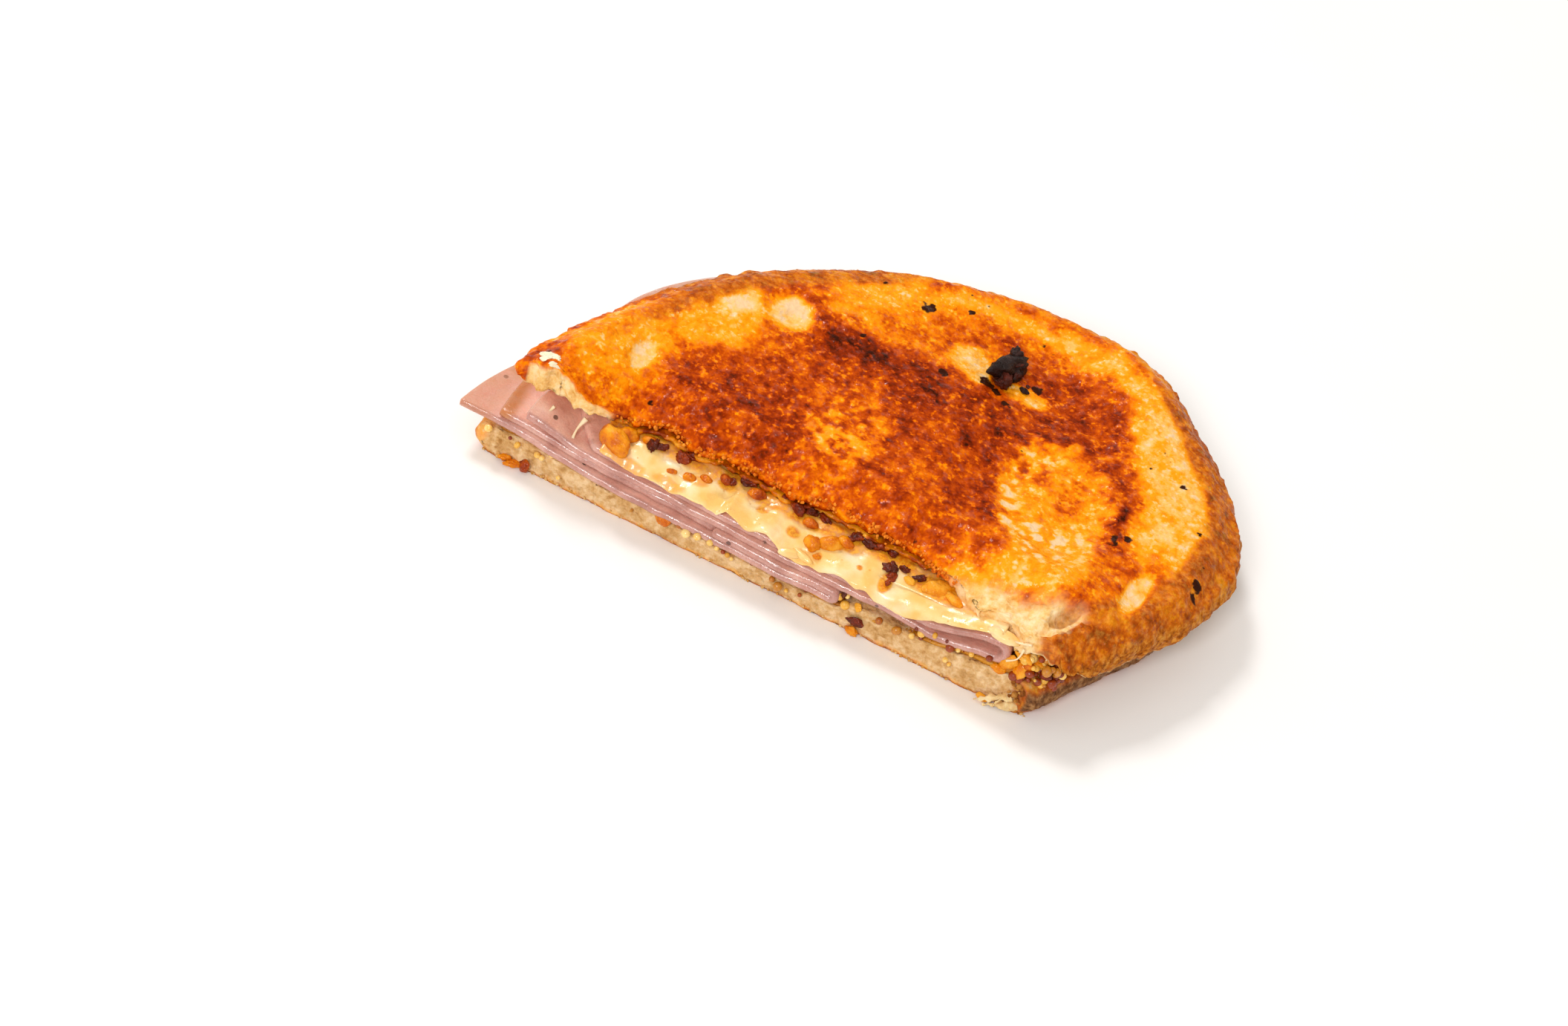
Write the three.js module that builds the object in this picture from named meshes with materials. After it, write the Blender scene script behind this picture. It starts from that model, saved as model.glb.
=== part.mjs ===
// Half of a pressed bologna sandwich, cut across and lying flat on its lower slice.
//
// Millimetres, +Z up. While it is modelled, the knife's cut is the plane y = 0, the crust
// is towards +y and x runs along the cut. The group is moved at the end, so that its
// origin is at the middle of the foot. From the board up, the stack is the lower slice of
// bread, grain mustard, four slices of bologna, melted cheese, fried onion and the upper
// slice of bread, with a charred bit baked onto its face.

import * as THREE from 'three';

const { clamp, degToRad, lerp } = THREE.MathUtils;

// ---- driving dimensions ----

// A country loaf's slice: a rounded oblong, which the knife crosses at a slant. Its crust
// is a little lobed.
const LOAF = {
  x: 8.1, y: 25.6, halfLength: 76.7, halfWidth: 57.3, squareness: 2.2, turn: degToRad(47.7),
  lobes: [{ size: 0.018, count: 3, phase: 2.1 }, { size: 0.007, count: 5, phase: 2.2 }],
};
// How far each slice has slid to the right: the lower one has slid to the left.
const UPPER_SLIP = 0;
const LOWER_SLIP = -6;

const GAP = 0.3; // air between neighbouring layers
const LOOSE_GAP = 0.6; // the same on both sides of the onion, whose front edge is wavy
const CRUST_BULGE = 1.6;

// The lower slice is thicker towards its crust, and pressed down in the middle of the cut.
// Pairs of numbers are where something starts and where it is complete.
const LOWER_BREAD = {
  thick: 5.0, rim: 3.4, rimAcross: [-32, -4], leftRim: 0.6, rimAlong: [-50, 10],
  pressed: 1.2, pressedX: 2, pressedWide: 26,
};
// The upper slice is pinched thin at the cut and rounded off at the crust, where it droops.
const UPPER_BREAD = {
  thick: 6.0, rim: 1.2, rimAcross: [-32, -8], rimBehind: [0, 30], rimAlong: [-40, 10],
  pinched: 0.7, pinchDeep: 12, rounded: 0.25, roundWide: 6,
  droop: 0.8, droopWide: 8, droopAlong: [-30, 20],
};
// Its left tip curls up, it is torn to a slope at the right of the cut, and it is wavy.
const TIP = { along: [-38, -62], deep: 24, lift: 1.8, swell: 3.6 };
const TORN = { share: 0.4, along: [30, 44], behind: [4, 16] };
const WAVE = { high: 0.5, alongX: 17, alongY: 19, phase: 1, grows: 14 };

const MUSTARD = { thick: 0.5, inset: 4, setBack: 0.5 };
const MUSTARD_CLUMP = { high: 0.8, along: [30, 54], deep: 18 };
const BOLOGNA = { thick: 1.5, drape: 24, steepDrape: 15, leastFlap: 6 };
const CHEESE = { thick: 1.8, lip: 1.3, slope: 8, inset: 5, leftEnd: -41, leftSlant: 0.35 };
const CHEESE_ROLL = { high: 1.2, y: 7, wide: 13, along: [-50, -30] };
const ONION = { thick: 0.6, inset: 13, setBack: 7, overhang: 0.8 };

// Front edges at the knife's cut: how far each is drawn back, and its ripples.
const UPPER_EDGE = {
  left: 3.5, middle: 7.5, right: 1.5, leftEnds: [-50, -38], rightStarts: [26, 52],
  ripples: [{ size: 0.5, length: 3.1, phase: 0 }, { size: 0.3, length: 1.7, phase: 1 }],
};
const CHEESE_EDGE = {
  back: 0.8, ripples: [{ size: 0.4, length: 2.6, phase: 0 }, { size: 0.3, length: 1.3, phase: 2 }],
};
const CHARRED_BIT = { x: 19, y: 67.5, halfWidth: 3.2, halfDepth: 4.9, high: 3.2 };

// The slices of bologna, from the lowest up, are round slices that the knife has cut. The
// lowest and the third are folded back on themselves along the line x = foldX.
const SLICES = {
  lowest: { x: -16, y: -6, radius: 56.5, setBack: 0.2, foldX: 12.5, depth: 46 },
  second: { x: -6, y: 8, radius: 58, setBack: 0.9, endX: -18, middleX: -34 },
  third: { x: 4.5, y: -4, radius: 62.6, setBack: 0.4, foldX: 47.5, depth: 52 },
  topmost: { x: -11, y: 34.5, radius: 46.5, setBack: 1.2 },
};
// The third slice's fold gapes at the cut, and what lies on it falls away past it.
const LOOP = { open: 2.4, along: [24, 42], deep: 22, fallsIn: 22 };

// Every layer has its points on the same lattice, so that neighbours follow each other.
const COLUMN = 6.5;
const ROWS = [4.5, 10, 14, 19, 25, 31, 38, 46, 54, 62, 69, 76, 82, 87, 91.5];
const FOLD_STEPS = 4;

// ---- small functions of one number ----

const smooth = (from, to, value) => {
  const t = clamp((value - from) / (to - from), 0, 1);
  return t * t * (3 - 2 * t);
};
const bell = (value, centre, width) => Math.exp(-(((value - centre) / width) ** 2));
const rippled = (x, ripples) => ripples.reduce(
  (sum, { size, length, phase }) => sum + size * Math.sin(x / length + phase), 0,
);

// ---- outlines seen from above: how far outside each one a place is, negative inside ----

function crustRadius(angle) {
  const along = Math.abs(Math.cos(angle - LOAF.turn)) / LOAF.halfLength;
  const across = Math.abs(Math.sin(angle - LOAF.turn)) / LOAF.halfWidth;
  const even = (along ** LOAF.squareness + across ** LOAF.squareness) ** (-1 / LOAF.squareness);
  const lobed = LOAF.lobes.map(({ size, count, phase }) => size * Math.sin(count * angle + phase));
  return even * (1 + lobed.reduce((sum, lobe) => sum + lobe, 0));
}

function fromCrust(x, y, slip) {
  const dx = x - LOAF.x - slip;
  const dy = y - LOAF.y;
  return Math.hypot(dx, dy) - crustRadius(Math.atan2(dy, dx));
}

const fromDisc = (x, y, disc) => Math.hypot(x - disc.x, y - disc.y) - disc.radius;
const fromFolded = (x, y, disc) => Math.max(fromDisc(x, y, disc), x - disc.foldX);
const fromFlap = (x, y, disc) => Math.max(
  Math.min(fromDisc(2 * disc.foldX - x, y, disc), disc.foldX - BOLOGNA.leastFlap - x), x - disc.foldX,
);

// The pressed edge of the upper slice is drawn back from the knife's plane, and ragged.
function upperFront(x) {
  const { left, middle, right, leftEnds, rightStarts, ripples } = UPPER_EDGE;
  const drawnBack = lerp(lerp(left, middle, smooth(...leftEnds, x)), right, smooth(...rightStarts, x));
  return drawnBack + rippled(x, ripples);
}
const cheeseFront = (x) => CHEESE_EDGE.back + rippled(x, CHEESE_EDGE.ripples);
const onionFront = (x) => Math.max(ONION.setBack, upperFront(x) - ONION.overhang);
const fromCheeseEnd = (x, y) => CHEESE.leftEnd - CHEESE.leftSlant * y - x;

// ---- heights of the stack above the board ----

// How much of a layer's height is felt by what lies over it and drapes down past its edge.
const under = (distance, drape = BOLOGNA.drape) => 1 - smooth(0, drape, distance);

function lowerTop(x, y) {
  const { thick, rim, rimAcross, leftRim, rimAlong, pressed, pressedX, pressedWide } = LOWER_BREAD;
  const rimHere = rim * lerp(leftRim, 1, smooth(...rimAlong, x));
  const risen = rimHere * smooth(...rimAcross, fromCrust(x, y, LOWER_SLIP));
  return thick + risen - pressed * bell(x, pressedX, pressedWide) * bell(y, 0, pressedWide);
}

const mustardBottom = (x, y) => lowerTop(x, y) + GAP;
const mustardTop = (x, y) => mustardBottom(x, y) + MUSTARD.thick
  + MUSTARD_CLUMP.high * smooth(...MUSTARD_CLUMP.along, x) * bell(y, 0, MUSTARD_CLUMP.deep);

const PITCH = BOLOGNA.thick + GAP;
const lowestLevel = (x, y) => mustardTop(x, y) + GAP;
const secondLevel = (x, y) => lowestLevel(x, y) + PITCH * under(fromFolded(x, y, SLICES.lowest));
const thirdLevel = (x, y) => secondLevel(x, y)
  + PITCH * under(Math.max(fromDisc(x, y, SLICES.second), x - SLICES.lowest.foldX));
function flapLevel(x, y) {
  const past = 1 - smooth(0, LOOP.fallsIn, x - SLICES.third.foldX);
  const open = LOOP.open * smooth(...LOOP.along, x) * past * bell(y, 0, LOOP.deep);
  return thirdLevel(x, y) + PITCH * under(fromFolded(x, y, SLICES.third)) + open;
}
const topmostLevel = (x, y) => flapLevel(x, y)
  + PITCH * under(fromFlap(x, y, SLICES.third), BOLOGNA.steepDrape);
const cheeseBottom = (x, y) => topmostLevel(x, y)
  + PITCH * under(fromDisc(x, y, SLICES.topmost), BOLOGNA.steepDrape);

// Melted cheese swells behind the cut, and slopes down to a thin lip at it.
const cheeseSwell = (x, y) => CHEESE.thick
  + CHEESE_ROLL.high * bell(y, CHEESE_ROLL.y, CHEESE_ROLL.wide) * smooth(...CHEESE_ROLL.along, x);
const cheeseTop = (x, y) => cheeseBottom(x, y)
  + lerp(CHEESE.lip, cheeseSwell(x, y), smooth(0, CHEESE.slope, y));
const onionBottom = (x, y) => cheeseBottom(x, y) + cheeseSwell(x, y) + LOOSE_GAP;
const onionTop = (x, y) => onionBottom(x, y) + ONION.thick;

const atTip = (x, y) => smooth(...TIP.along, x) * bell(y, 0, TIP.deep);
function upperBottom(x, y) {
  const { droop, droopWide, droopAlong } = UPPER_BREAD;
  const past = smooth(-droopWide, 0, fromCrust(x, y, UPPER_SLIP)) * smooth(...droopAlong, x);
  return onionTop(x, y) + LOOSE_GAP - droop * past + TIP.lift * atTip(x, y);
}
function upperTop(x, y) {
  const { thick, rim, rimAcross, rimBehind, rimAlong } = UPPER_BREAD;
  const behindFront = y - upperFront(x);
  const crust = fromCrust(x, y, UPPER_SLIP);
  const nearCut = (1 - smooth(0, UPPER_BREAD.pinchDeep, behindFront)) * (1 - atTip(x, y));
  const torn = TORN.share * smooth(...TORN.along, x) * (1 - smooth(...TORN.behind, behindFront));
  const rounded = UPPER_BREAD.rounded * smooth(-UPPER_BREAD.roundWide, 0, crust);
  const risen = rim * smooth(...rimAcross, crust) * smooth(...rimBehind, y) * smooth(...rimAlong, x);
  const swollen = (thick + risen + TIP.swell * atTip(x, y)) * (1 - UPPER_BREAD.pinched * nearCut);
  const wave = WAVE.high * Math.sin(x / WAVE.alongX + WAVE.phase) * Math.cos(y / WAVE.alongY);
  return upperBottom(x, y) + swollen * (1 - torn) * (1 - rounded) + wave * smooth(0, WAVE.grows, behindFront);
}

// ---- sheets: rows of points from the knife's cut to the crust, each row from left to right ----

const SPARE = 2.5; // least distance between neighbouring points
const FAR = 150; // past every outline
const HALVINGS = 40; // of the span in which an edge is looked for

// The place between start and past where outside(place) turns positive.
function edgeBetween(start, past, outside) {
  let [near, far] = [start, past];
  for (let step = 0; step < HALVINGS; step += 1) {
    const half = (near + far) / 2;
    if (outside(half) < 0) near = half;
    else far = half;
  }
  return near;
}

function columnsBetween(left, right) {
  const first = Math.ceil((left + SPARE) / COLUMN);
  const last = Math.floor((right - SPARE) / COLUMN);
  return Array.from({ length: Math.max(last - first + 1, 0) }, (_, i) => (first + i) * COLUMN);
}

// The rows of [x, y] of a layer whose side edges are where outside(x, y) turns positive, and
// which starts at y = front(x). The last row runs along its back edge.
function rowsOf(outside, front, middleX) {
  const span = (yAt) => {
    const side = (far) => edgeBetween(middleX, far, (x) => outside(x, yAt(x)));
    const [left, right] = [side(middleX - FAR), side(middleX + FAR)];
    return [left, ...columnsBetween(left, right), right];
  };
  const back = edgeBetween(ROWS[0], FAR, (y) => outside(middleX, y));
  const frontRow = span(front);
  const start = Math.max(...frontRow.map(front)) + SPARE / 2;
  const rows = [frontRow.map((x) => [x, front(x)])];
  for (const y of ROWS.filter((row) => row > start && row < back - SPARE)) {
    rows.push(span(() => y).map((x) => [x, y]));
  }
  const [[lastLeft, lastY]] = rows.at(-1);
  const lastRight = rows.at(-1).at(-1)[0];
  const backEdge = (x) => edgeBetween(lastY, FAR, (y) => outside(x, y));
  rows.push(columnsBetween(lastLeft, lastRight).map((x) => [x, backEdge(x)]));
  return rows;
}

// A flat layer's points: one on its top and one on its bottom at each place.
const layerPoints = (rows, topAt, bottomAt) => rows.map((row) => row.map(([x, y]) => ({
  along: x, over: [x, y, topAt(x, y)], under: [x, y, bottomAt(x, y)],
})));

// A folded slice's points: along the lower ply, round the fold and back along the flap.
function foldedPoints(disc, lowerAt, flapAt) {
  const { foldX, setBack, depth } = disc;
  const { thick } = BOLOGNA;
  const ys = [setBack, ...ROWS.filter((y) => y < depth - SPARE), depth];
  return ys.map((y) => {
    const halfChord = Math.sqrt(disc.radius ** 2 - (y - disc.y) ** 2);
    const left = disc.x - halfChord;
    const flap = Math.max(disc.x + halfChord - foldX, BOLOGNA.leastFlap);
    const radius = (flapAt(foldX, y) + thick - lowerAt(foldX, y)) / 2;
    const bend = foldX - radius;
    const base = lowerAt(bend, y);
    const height = (flapAt(bend, y) + thick - base) / 2;
    const lower = [left, ...columnsBetween(left, bend)].map((x) => ({
      along: x, over: [x, y, lowerAt(x, y) + thick], under: [x, y, lowerAt(x, y)],
    }));
    const round = Array.from({ length: FOLD_STEPS + 1 }, (_, i) => {
      const angle = Math.PI * (i / FOLD_STEPS - 0.5);
      const at = (inset) => [
        bend + (radius - inset) * Math.cos(angle), y, base + height + (height - inset) * Math.sin(angle),
      ];
      return { along: bend + i / FOLD_STEPS, over: at(thick), under: at(0) };
    });
    const end = bend - flap + radius;
    const upper = [...columnsBetween(end, bend).reverse(), end].map((x) => ({
      along: 2 * bend + 1 - x, over: [x, y, flapAt(x, y)], under: [x, y, flapAt(x, y) + thick],
    }));
    return [...lower, ...round, ...upper];
  });
}

// Calls face with the three points of each triangle between two neighbouring rows.
function zip(near, far, face) {
  let [i, j] = [0, 0];
  while (i + 1 < near.length || j + 1 < far.length) {
    const nextNear = near[i + 1]?.along ?? Infinity;
    const nextFar = far[j + 1]?.along ?? Infinity;
    if (nextNear <= nextFar) {
      face(near[i], near[i + 1], far[j]);
      i += 1;
    } else {
      face(near[i], far[j + 1], far[j]);
      j += 1;
    }
  }
}

// The points round a sheet's rim: along its front row, back along its right side, along its
// last row and forward along its left side.
function rimOf(rows) {
  const inner = rows.slice(1, -1);
  const rightSide = inner.map((row) => row.at(-1));
  const leftSide = inner.map((row) => row[0]);
  return [...rows[0], ...rightSide, ...[...rows.at(-1)].reverse(), ...leftSide.reverse()];
}

// A closed body from a sheet's points. Its rim can have rows of its own, which bulge out
// everywhere but along the front row.
function solid(sheet, { rimRows = 0, bulge = 0 } = {}) {
  const positions = [];
  const faces = [];
  const add = (point) => positions.push(...point) / 3 - 1;
  const rows = sheet.map((row) => row.map((point) => ({
    ...point, overIndex: add(point.over), underIndex: add(point.under),
  })));
  const face = (a, b, c) => {
    faces.push(a.overIndex, b.overIndex, c.overIndex, a.underIndex, c.underIndex, b.underIndex);
  };
  rows.slice(1).forEach((row, i) => zip(rows[i], row, face));

  const walls = rimOf(rows).map(({ over, under, overIndex, underIndex }, place) => {
    const [x, y, top] = over;
    const outward = place < rows[0].length ? 0 : bulge / Math.hypot(x - LOAF.x, y - LOAF.y);
    const between = Array.from({ length: rimRows }, (_, i) => {
      const down = (i + 1) / (rimRows + 1);
      const out = outward * Math.sin(Math.PI * down);
      const forward = Math.max(y - LOAF.y, 0) * out;
      return add([x + (x - LOAF.x) * out, y + forward, lerp(top, under[2], down)]);
    });
    return [overIndex, ...between, underIndex];
  });
  walls.forEach((wall, place) => {
    const next = walls[(place + 1) % walls.length];
    for (let i = 0; i + 1 < wall.length; i += 1) {
      faces.push(wall[i], wall[i + 1], next[i + 1], wall[i], next[i + 1], next[i]);
    }
  });

  const geometry = new THREE.BufferGeometry();
  geometry.setAttribute('position', new THREE.Float32BufferAttribute(positions, 3));
  geometry.setIndex(faces);
  geometry.computeVertexNormals();
  return geometry;
}

// ---- the pieces ----

function lowerBread() {
  const rows = rowsOf((x, y) => fromCrust(x, y, LOWER_SLIP), () => 0, LOAF.x);
  return solid(layerPoints(rows, lowerTop, () => 0), { rimRows: 3, bulge: CRUST_BULGE });
}

function mustard() {
  const outside = (x, y) => fromCrust(x, y, LOWER_SLIP) + MUSTARD.inset;
  const rows = rowsOf(outside, () => MUSTARD.setBack, LOAF.x);
  return solid(layerPoints(rows, mustardTop, mustardBottom));
}

function secondSlice() {
  const { endX, setBack } = SLICES.second;
  const outside = (x, y) => Math.max(fromDisc(x, y, SLICES.second), x - endX);
  const rows = rowsOf(outside, () => setBack, SLICES.second.middleX);
  return solid(layerPoints(rows, (x, y) => secondLevel(x, y) + BOLOGNA.thick, secondLevel));
}

function topmostSlice() {
  const rows = rowsOf((x, y) => fromDisc(x, y, SLICES.topmost), () => SLICES.topmost.setBack,
    SLICES.topmost.x);
  return solid(layerPoints(rows, (x, y) => topmostLevel(x, y) + BOLOGNA.thick, topmostLevel));
}

function cheese() {
  const outside = (x, y) => Math.max(fromCrust(x, y, UPPER_SLIP) + CHEESE.inset, fromCheeseEnd(x, y));
  return solid(layerPoints(rowsOf(outside, cheeseFront, LOAF.x), cheeseTop, cheeseBottom));
}

function onion() {
  const outside = (x, y) => Math.max(fromCrust(x, y, UPPER_SLIP) + ONION.inset, fromCheeseEnd(x, y));
  return solid(layerPoints(rowsOf(outside, onionFront, LOAF.x), onionTop, onionBottom));
}

function upperBread() {
  const rows = rowsOf((x, y) => fromCrust(x, y, UPPER_SLIP), upperFront, LOAF.x);
  return solid(layerPoints(rows, upperTop, upperBottom), { rimRows: 3, bulge: CRUST_BULGE });
}

// A domed crumb of char that sits on the upper slice.
function charredBit() {
  const { x, y, halfWidth, halfDepth, high } = CHARRED_BIT;
  const dome = new THREE.SphereGeometry(1, 12, 8);
  dome.rotateX(Math.PI / 2);
  dome.scale(halfWidth, halfDepth, high / 2);
  dome.translate(x, y, upperTop(x, y) + high / 2 + GAP);
  return dome;
}

// ---- the sandwich ----

const COLOURS = {
  toast: '#c4690f', crumb: '#d9b988', mustard: '#c79a2b', bologna: '#c58b86',
  cheese: '#f2cf86', onion: '#9a5a1c', char: '#241a16',
};

function piece(name, geometry, colour, roughness) {
  const material = new THREE.MeshStandardMaterial({ color: colour, roughness, metalness: 0 });
  const mesh = new THREE.Mesh(geometry, material);
  mesh.name = name;
  return mesh;
}

const sandwich = new THREE.Group();
sandwich.add(
  piece('bread_lower', lowerBread(), COLOURS.crumb, 0.85),
  piece('mustard', mustard(), COLOURS.mustard, 0.4),
  piece('bologna_1', solid(foldedPoints(SLICES.lowest, lowestLevel, secondLevel)), COLOURS.bologna, 0.35),
  piece('bologna_2', secondSlice(), COLOURS.bologna, 0.35),
  piece('bologna_3', solid(foldedPoints(SLICES.third, thirdLevel, flapLevel)), COLOURS.bologna, 0.35),
  piece('bologna_4', topmostSlice(), COLOURS.bologna, 0.35),
  piece('cheese', cheese(), COLOURS.cheese, 0.3),
  piece('onion', onion(), COLOURS.onion, 0.4),
  piece('bread_upper', upperBread(), COLOURS.toast, 0.55),
  piece('charred_bit', charredBit(), COLOURS.char, 0.5),
);

// The origin is at the middle of the sandwich's box, at the height of the board.
const box = new THREE.Box3().setFromObject(sandwich);
const middle = box.getCenter(new THREE.Vector3());
sandwich.position.set(-middle.x, -middle.y, -box.min.z);
sandwich.updateMatrixWorld(true);

export default sandwich;
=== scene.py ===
"""The looks of half of a pressed bologna sandwich, which lies flat on its lower slice.

Sizes are in millimetres in the cut frame: x runs along the knife's cut, y behind it towards
the crust, and z up from the board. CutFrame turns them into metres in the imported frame. Every
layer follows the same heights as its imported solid, which it stands for with a finer mesh.
"""

import logging
from collections.abc import Callable, Sequence
from dataclasses import dataclass, field
from enum import Enum
from functools import partial, reduce

import bmesh
import bpy
import numpy as np
from mathutils import Matrix, Vector


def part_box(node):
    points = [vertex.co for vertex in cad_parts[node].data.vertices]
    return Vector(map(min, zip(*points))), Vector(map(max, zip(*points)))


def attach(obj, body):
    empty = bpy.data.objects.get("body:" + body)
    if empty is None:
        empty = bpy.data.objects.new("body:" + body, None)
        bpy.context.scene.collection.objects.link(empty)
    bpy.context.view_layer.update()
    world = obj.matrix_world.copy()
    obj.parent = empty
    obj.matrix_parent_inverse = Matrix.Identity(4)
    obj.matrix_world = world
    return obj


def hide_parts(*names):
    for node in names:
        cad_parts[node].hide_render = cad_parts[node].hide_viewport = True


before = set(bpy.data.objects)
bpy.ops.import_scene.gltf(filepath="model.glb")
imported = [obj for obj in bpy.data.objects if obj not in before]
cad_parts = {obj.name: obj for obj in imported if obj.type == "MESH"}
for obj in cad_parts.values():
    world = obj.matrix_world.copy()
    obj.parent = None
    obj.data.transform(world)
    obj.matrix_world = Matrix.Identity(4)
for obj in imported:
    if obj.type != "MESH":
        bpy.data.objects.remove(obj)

LOG = logging.getLogger("sandwich")
BODY = "root"
METRES = 0.001
FULL_TURN = (6.28, 6.28, 6.28)

Array = np.ndarray
Field = Callable[[Array, Array], Array]
Triple = tuple[float, float, float]
Row = tuple[float, ...]
Object = bpy.types.Object
Material = bpy.types.Material
Socket = bpy.types.NodeSocket
Inputs = dict[str | int, object]


# ---- numbers and noise


def smooth(start: float, end: float, value: Array) -> Array:
    """A soft step from 0 at start to 1 at end."""
    t = np.clip((np.asarray(value, float) - start) / (end - start), 0, 1)
    return t * t * (3 - 2 * t)


def bell(value: Array, centre: float, width: float) -> Array:
    """1 at the centre, falling off to both sides."""
    return np.exp(-(((np.asarray(value, float) - centre) / width) ** 2))


def table(*columns: Array) -> Array:
    """A table with these columns, such as places from their x, y and z."""
    return np.stack(columns, axis=1)


def lerp(low: Array, high: Array, share: Array) -> Array:
    """The value that lies a share of the way from low to high."""
    return low + (high - low) * share


@dataclass(frozen=True)
class Noise:
    """Soft random values in space, the same on every run.

    Its largest lumps are size millimetres wide, and each further octave is half as wide.
    """

    size: float
    seed: int
    octaves: int = 1

    def at(self, points: Array) -> Array:
        """One value from -1 to 1 at each point.

        Args:
            points: places in millimetres, three numbers each.

        Returns:
            One number for each point.
        """
        total, weight, size = np.zeros(len(points)), 0.0, self.size
        for octave in range(self.octaves):
            share = 0.5**octave
            total += share * self._layer(points / size, self.seed + 17 * octave)
            weight += share
            size /= 2
        return total / weight

    @staticmethod
    def _layer(places: Array, seed: int) -> Array:
        """Values blended between random ones at the corners of unit cells.

        Args:
            places: three numbers each, in cells.
            seed: picks one pattern.

        Returns:
            One value from -1 to 1 for each place.
        """
        cell = np.floor(places).astype(np.int64)
        part = places - cell
        part = part * part * (3 - 2 * part)
        total = np.zeros(len(places))
        for corner in np.ndindex(2, 2, 2):
            share = np.prod(np.where(corner, part, 1 - part), axis=1)
            total += share * (2 * hashed(cell + corner, seed) - 1)
        return total

    def over(self, x: Array, y: Array | float = 0.0, z: Array | float = 0.0) -> Array:
        """The same for places given by their x, y and z, in rows and columns as x is."""
        places = np.stack(np.broadcast_arrays(x, y, z), axis=-1).reshape(-1, 3)
        return self.at(places).reshape(np.shape(x))


def hashed(cells: Array, seed: int) -> Array:
    """A fixed random number from 0 to 1 for each whole-numbered cell.

    Args:
        cells: three whole numbers each.
        seed: picks one set of numbers.

    Returns:
        One number for each cell.
    """
    mask = 0xFFFFFFFF
    mixed = (cells @ np.array([374761393, 668265263, 974634777]) + seed * 362437) & mask
    mixed = ((mixed ^ (mixed >> 13)) * 1274126177) & mask
    mixed = ((mixed ^ (mixed >> 15)) * 461845907) & mask
    return (mixed ^ (mixed >> 16)) / mask


@dataclass(frozen=True)
class Cells:
    """Space filled with random cells of a mean size in millimetres, such as bubbles in crumb."""

    size: float
    seed: int

    def distance(self, points: Array) -> Array:
        """How far each point is from the middle of its cell, in cells.

        Args:
            points: places in millimetres, three numbers each.

        Returns:
            One number for each point, from 0 to about 1.
        """
        places = points / self.size
        home = np.floor(places).astype(np.int64)
        nearest = np.full(len(points), 9.0)
        for step in np.ndindex(3, 3, 3):
            cell = home + step - 1
            jitter = table(*(hashed(cell, self.seed + axis) for axis in range(3)))
            nearest = np.minimum(nearest, ((cell + jitter - places) ** 2).sum(axis=1))
        return np.sqrt(nearest)


# ---- the sandwich's sizes


@dataclass(frozen=True)
class Disc:
    """A round slice of bologna, seen from above.

    Its cut edge is set back from the knife's plane, and at fold_x it may be folded on itself.
    """

    x: float
    y: float
    radius: float
    set_back: float
    fold_x: float | None = None

    def outside(self, x: Array, y: Array) -> Array:
        """How far outside its round edge a place is."""
        return np.hypot(x - self.x, y - self.y) - self.radius

    def outside_folded(self, x: Array, y: Array) -> Array:
        """The same for its lower ply, which ends at the fold."""
        return np.maximum(self.outside(x, y), x - self.fold_x)

    def outside_flap(self, x: Array, y: Array, least: float) -> Array:
        """The same for the flap that is folded back over it."""
        flap = np.minimum(self.outside(2 * self.fold_x - x, y), self.fold_x - least - x)
        return np.maximum(flap, x - self.fold_x)


@dataclass(frozen=True)
class Loaf:
    """The outline of a slice of a country loaf, a rounded and slightly lobed oblong."""

    x: float = 8.1
    y: float = 25.6
    half_length: float = 76.7
    half_width: float = 57.3
    squareness: float = 2.2
    turn: float = np.radians(47.7)
    lobes: tuple[tuple[float, int, float], ...] = ((0.018, 3, 2.1), (0.007, 5, 2.2))

    def outside(self, x: Array, y: Array, slip: float = 0.0) -> Array:
        """How far outside the crust a place is.

        Args:
            x: along the cut.
            y: behind the cut.
            slip: how far the slice has slid to the right.

        Returns:
            Millimetres, negative inside the slice.
        """
        dx, dy = x - self.x - slip, y - self.y
        angle = np.arctan2(dy, dx)
        along = np.abs(np.cos(angle - self.turn)) / self.half_length
        across = np.abs(np.sin(angle - self.turn)) / self.half_width
        even = (along**self.squareness + across**self.squareness) ** (-1 / self.squareness)
        lobed = sum(size * np.sin(count * angle + phase) for size, count, phase in self.lobes)
        return np.hypot(dx, dy) - even * (1 + lobed)


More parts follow.
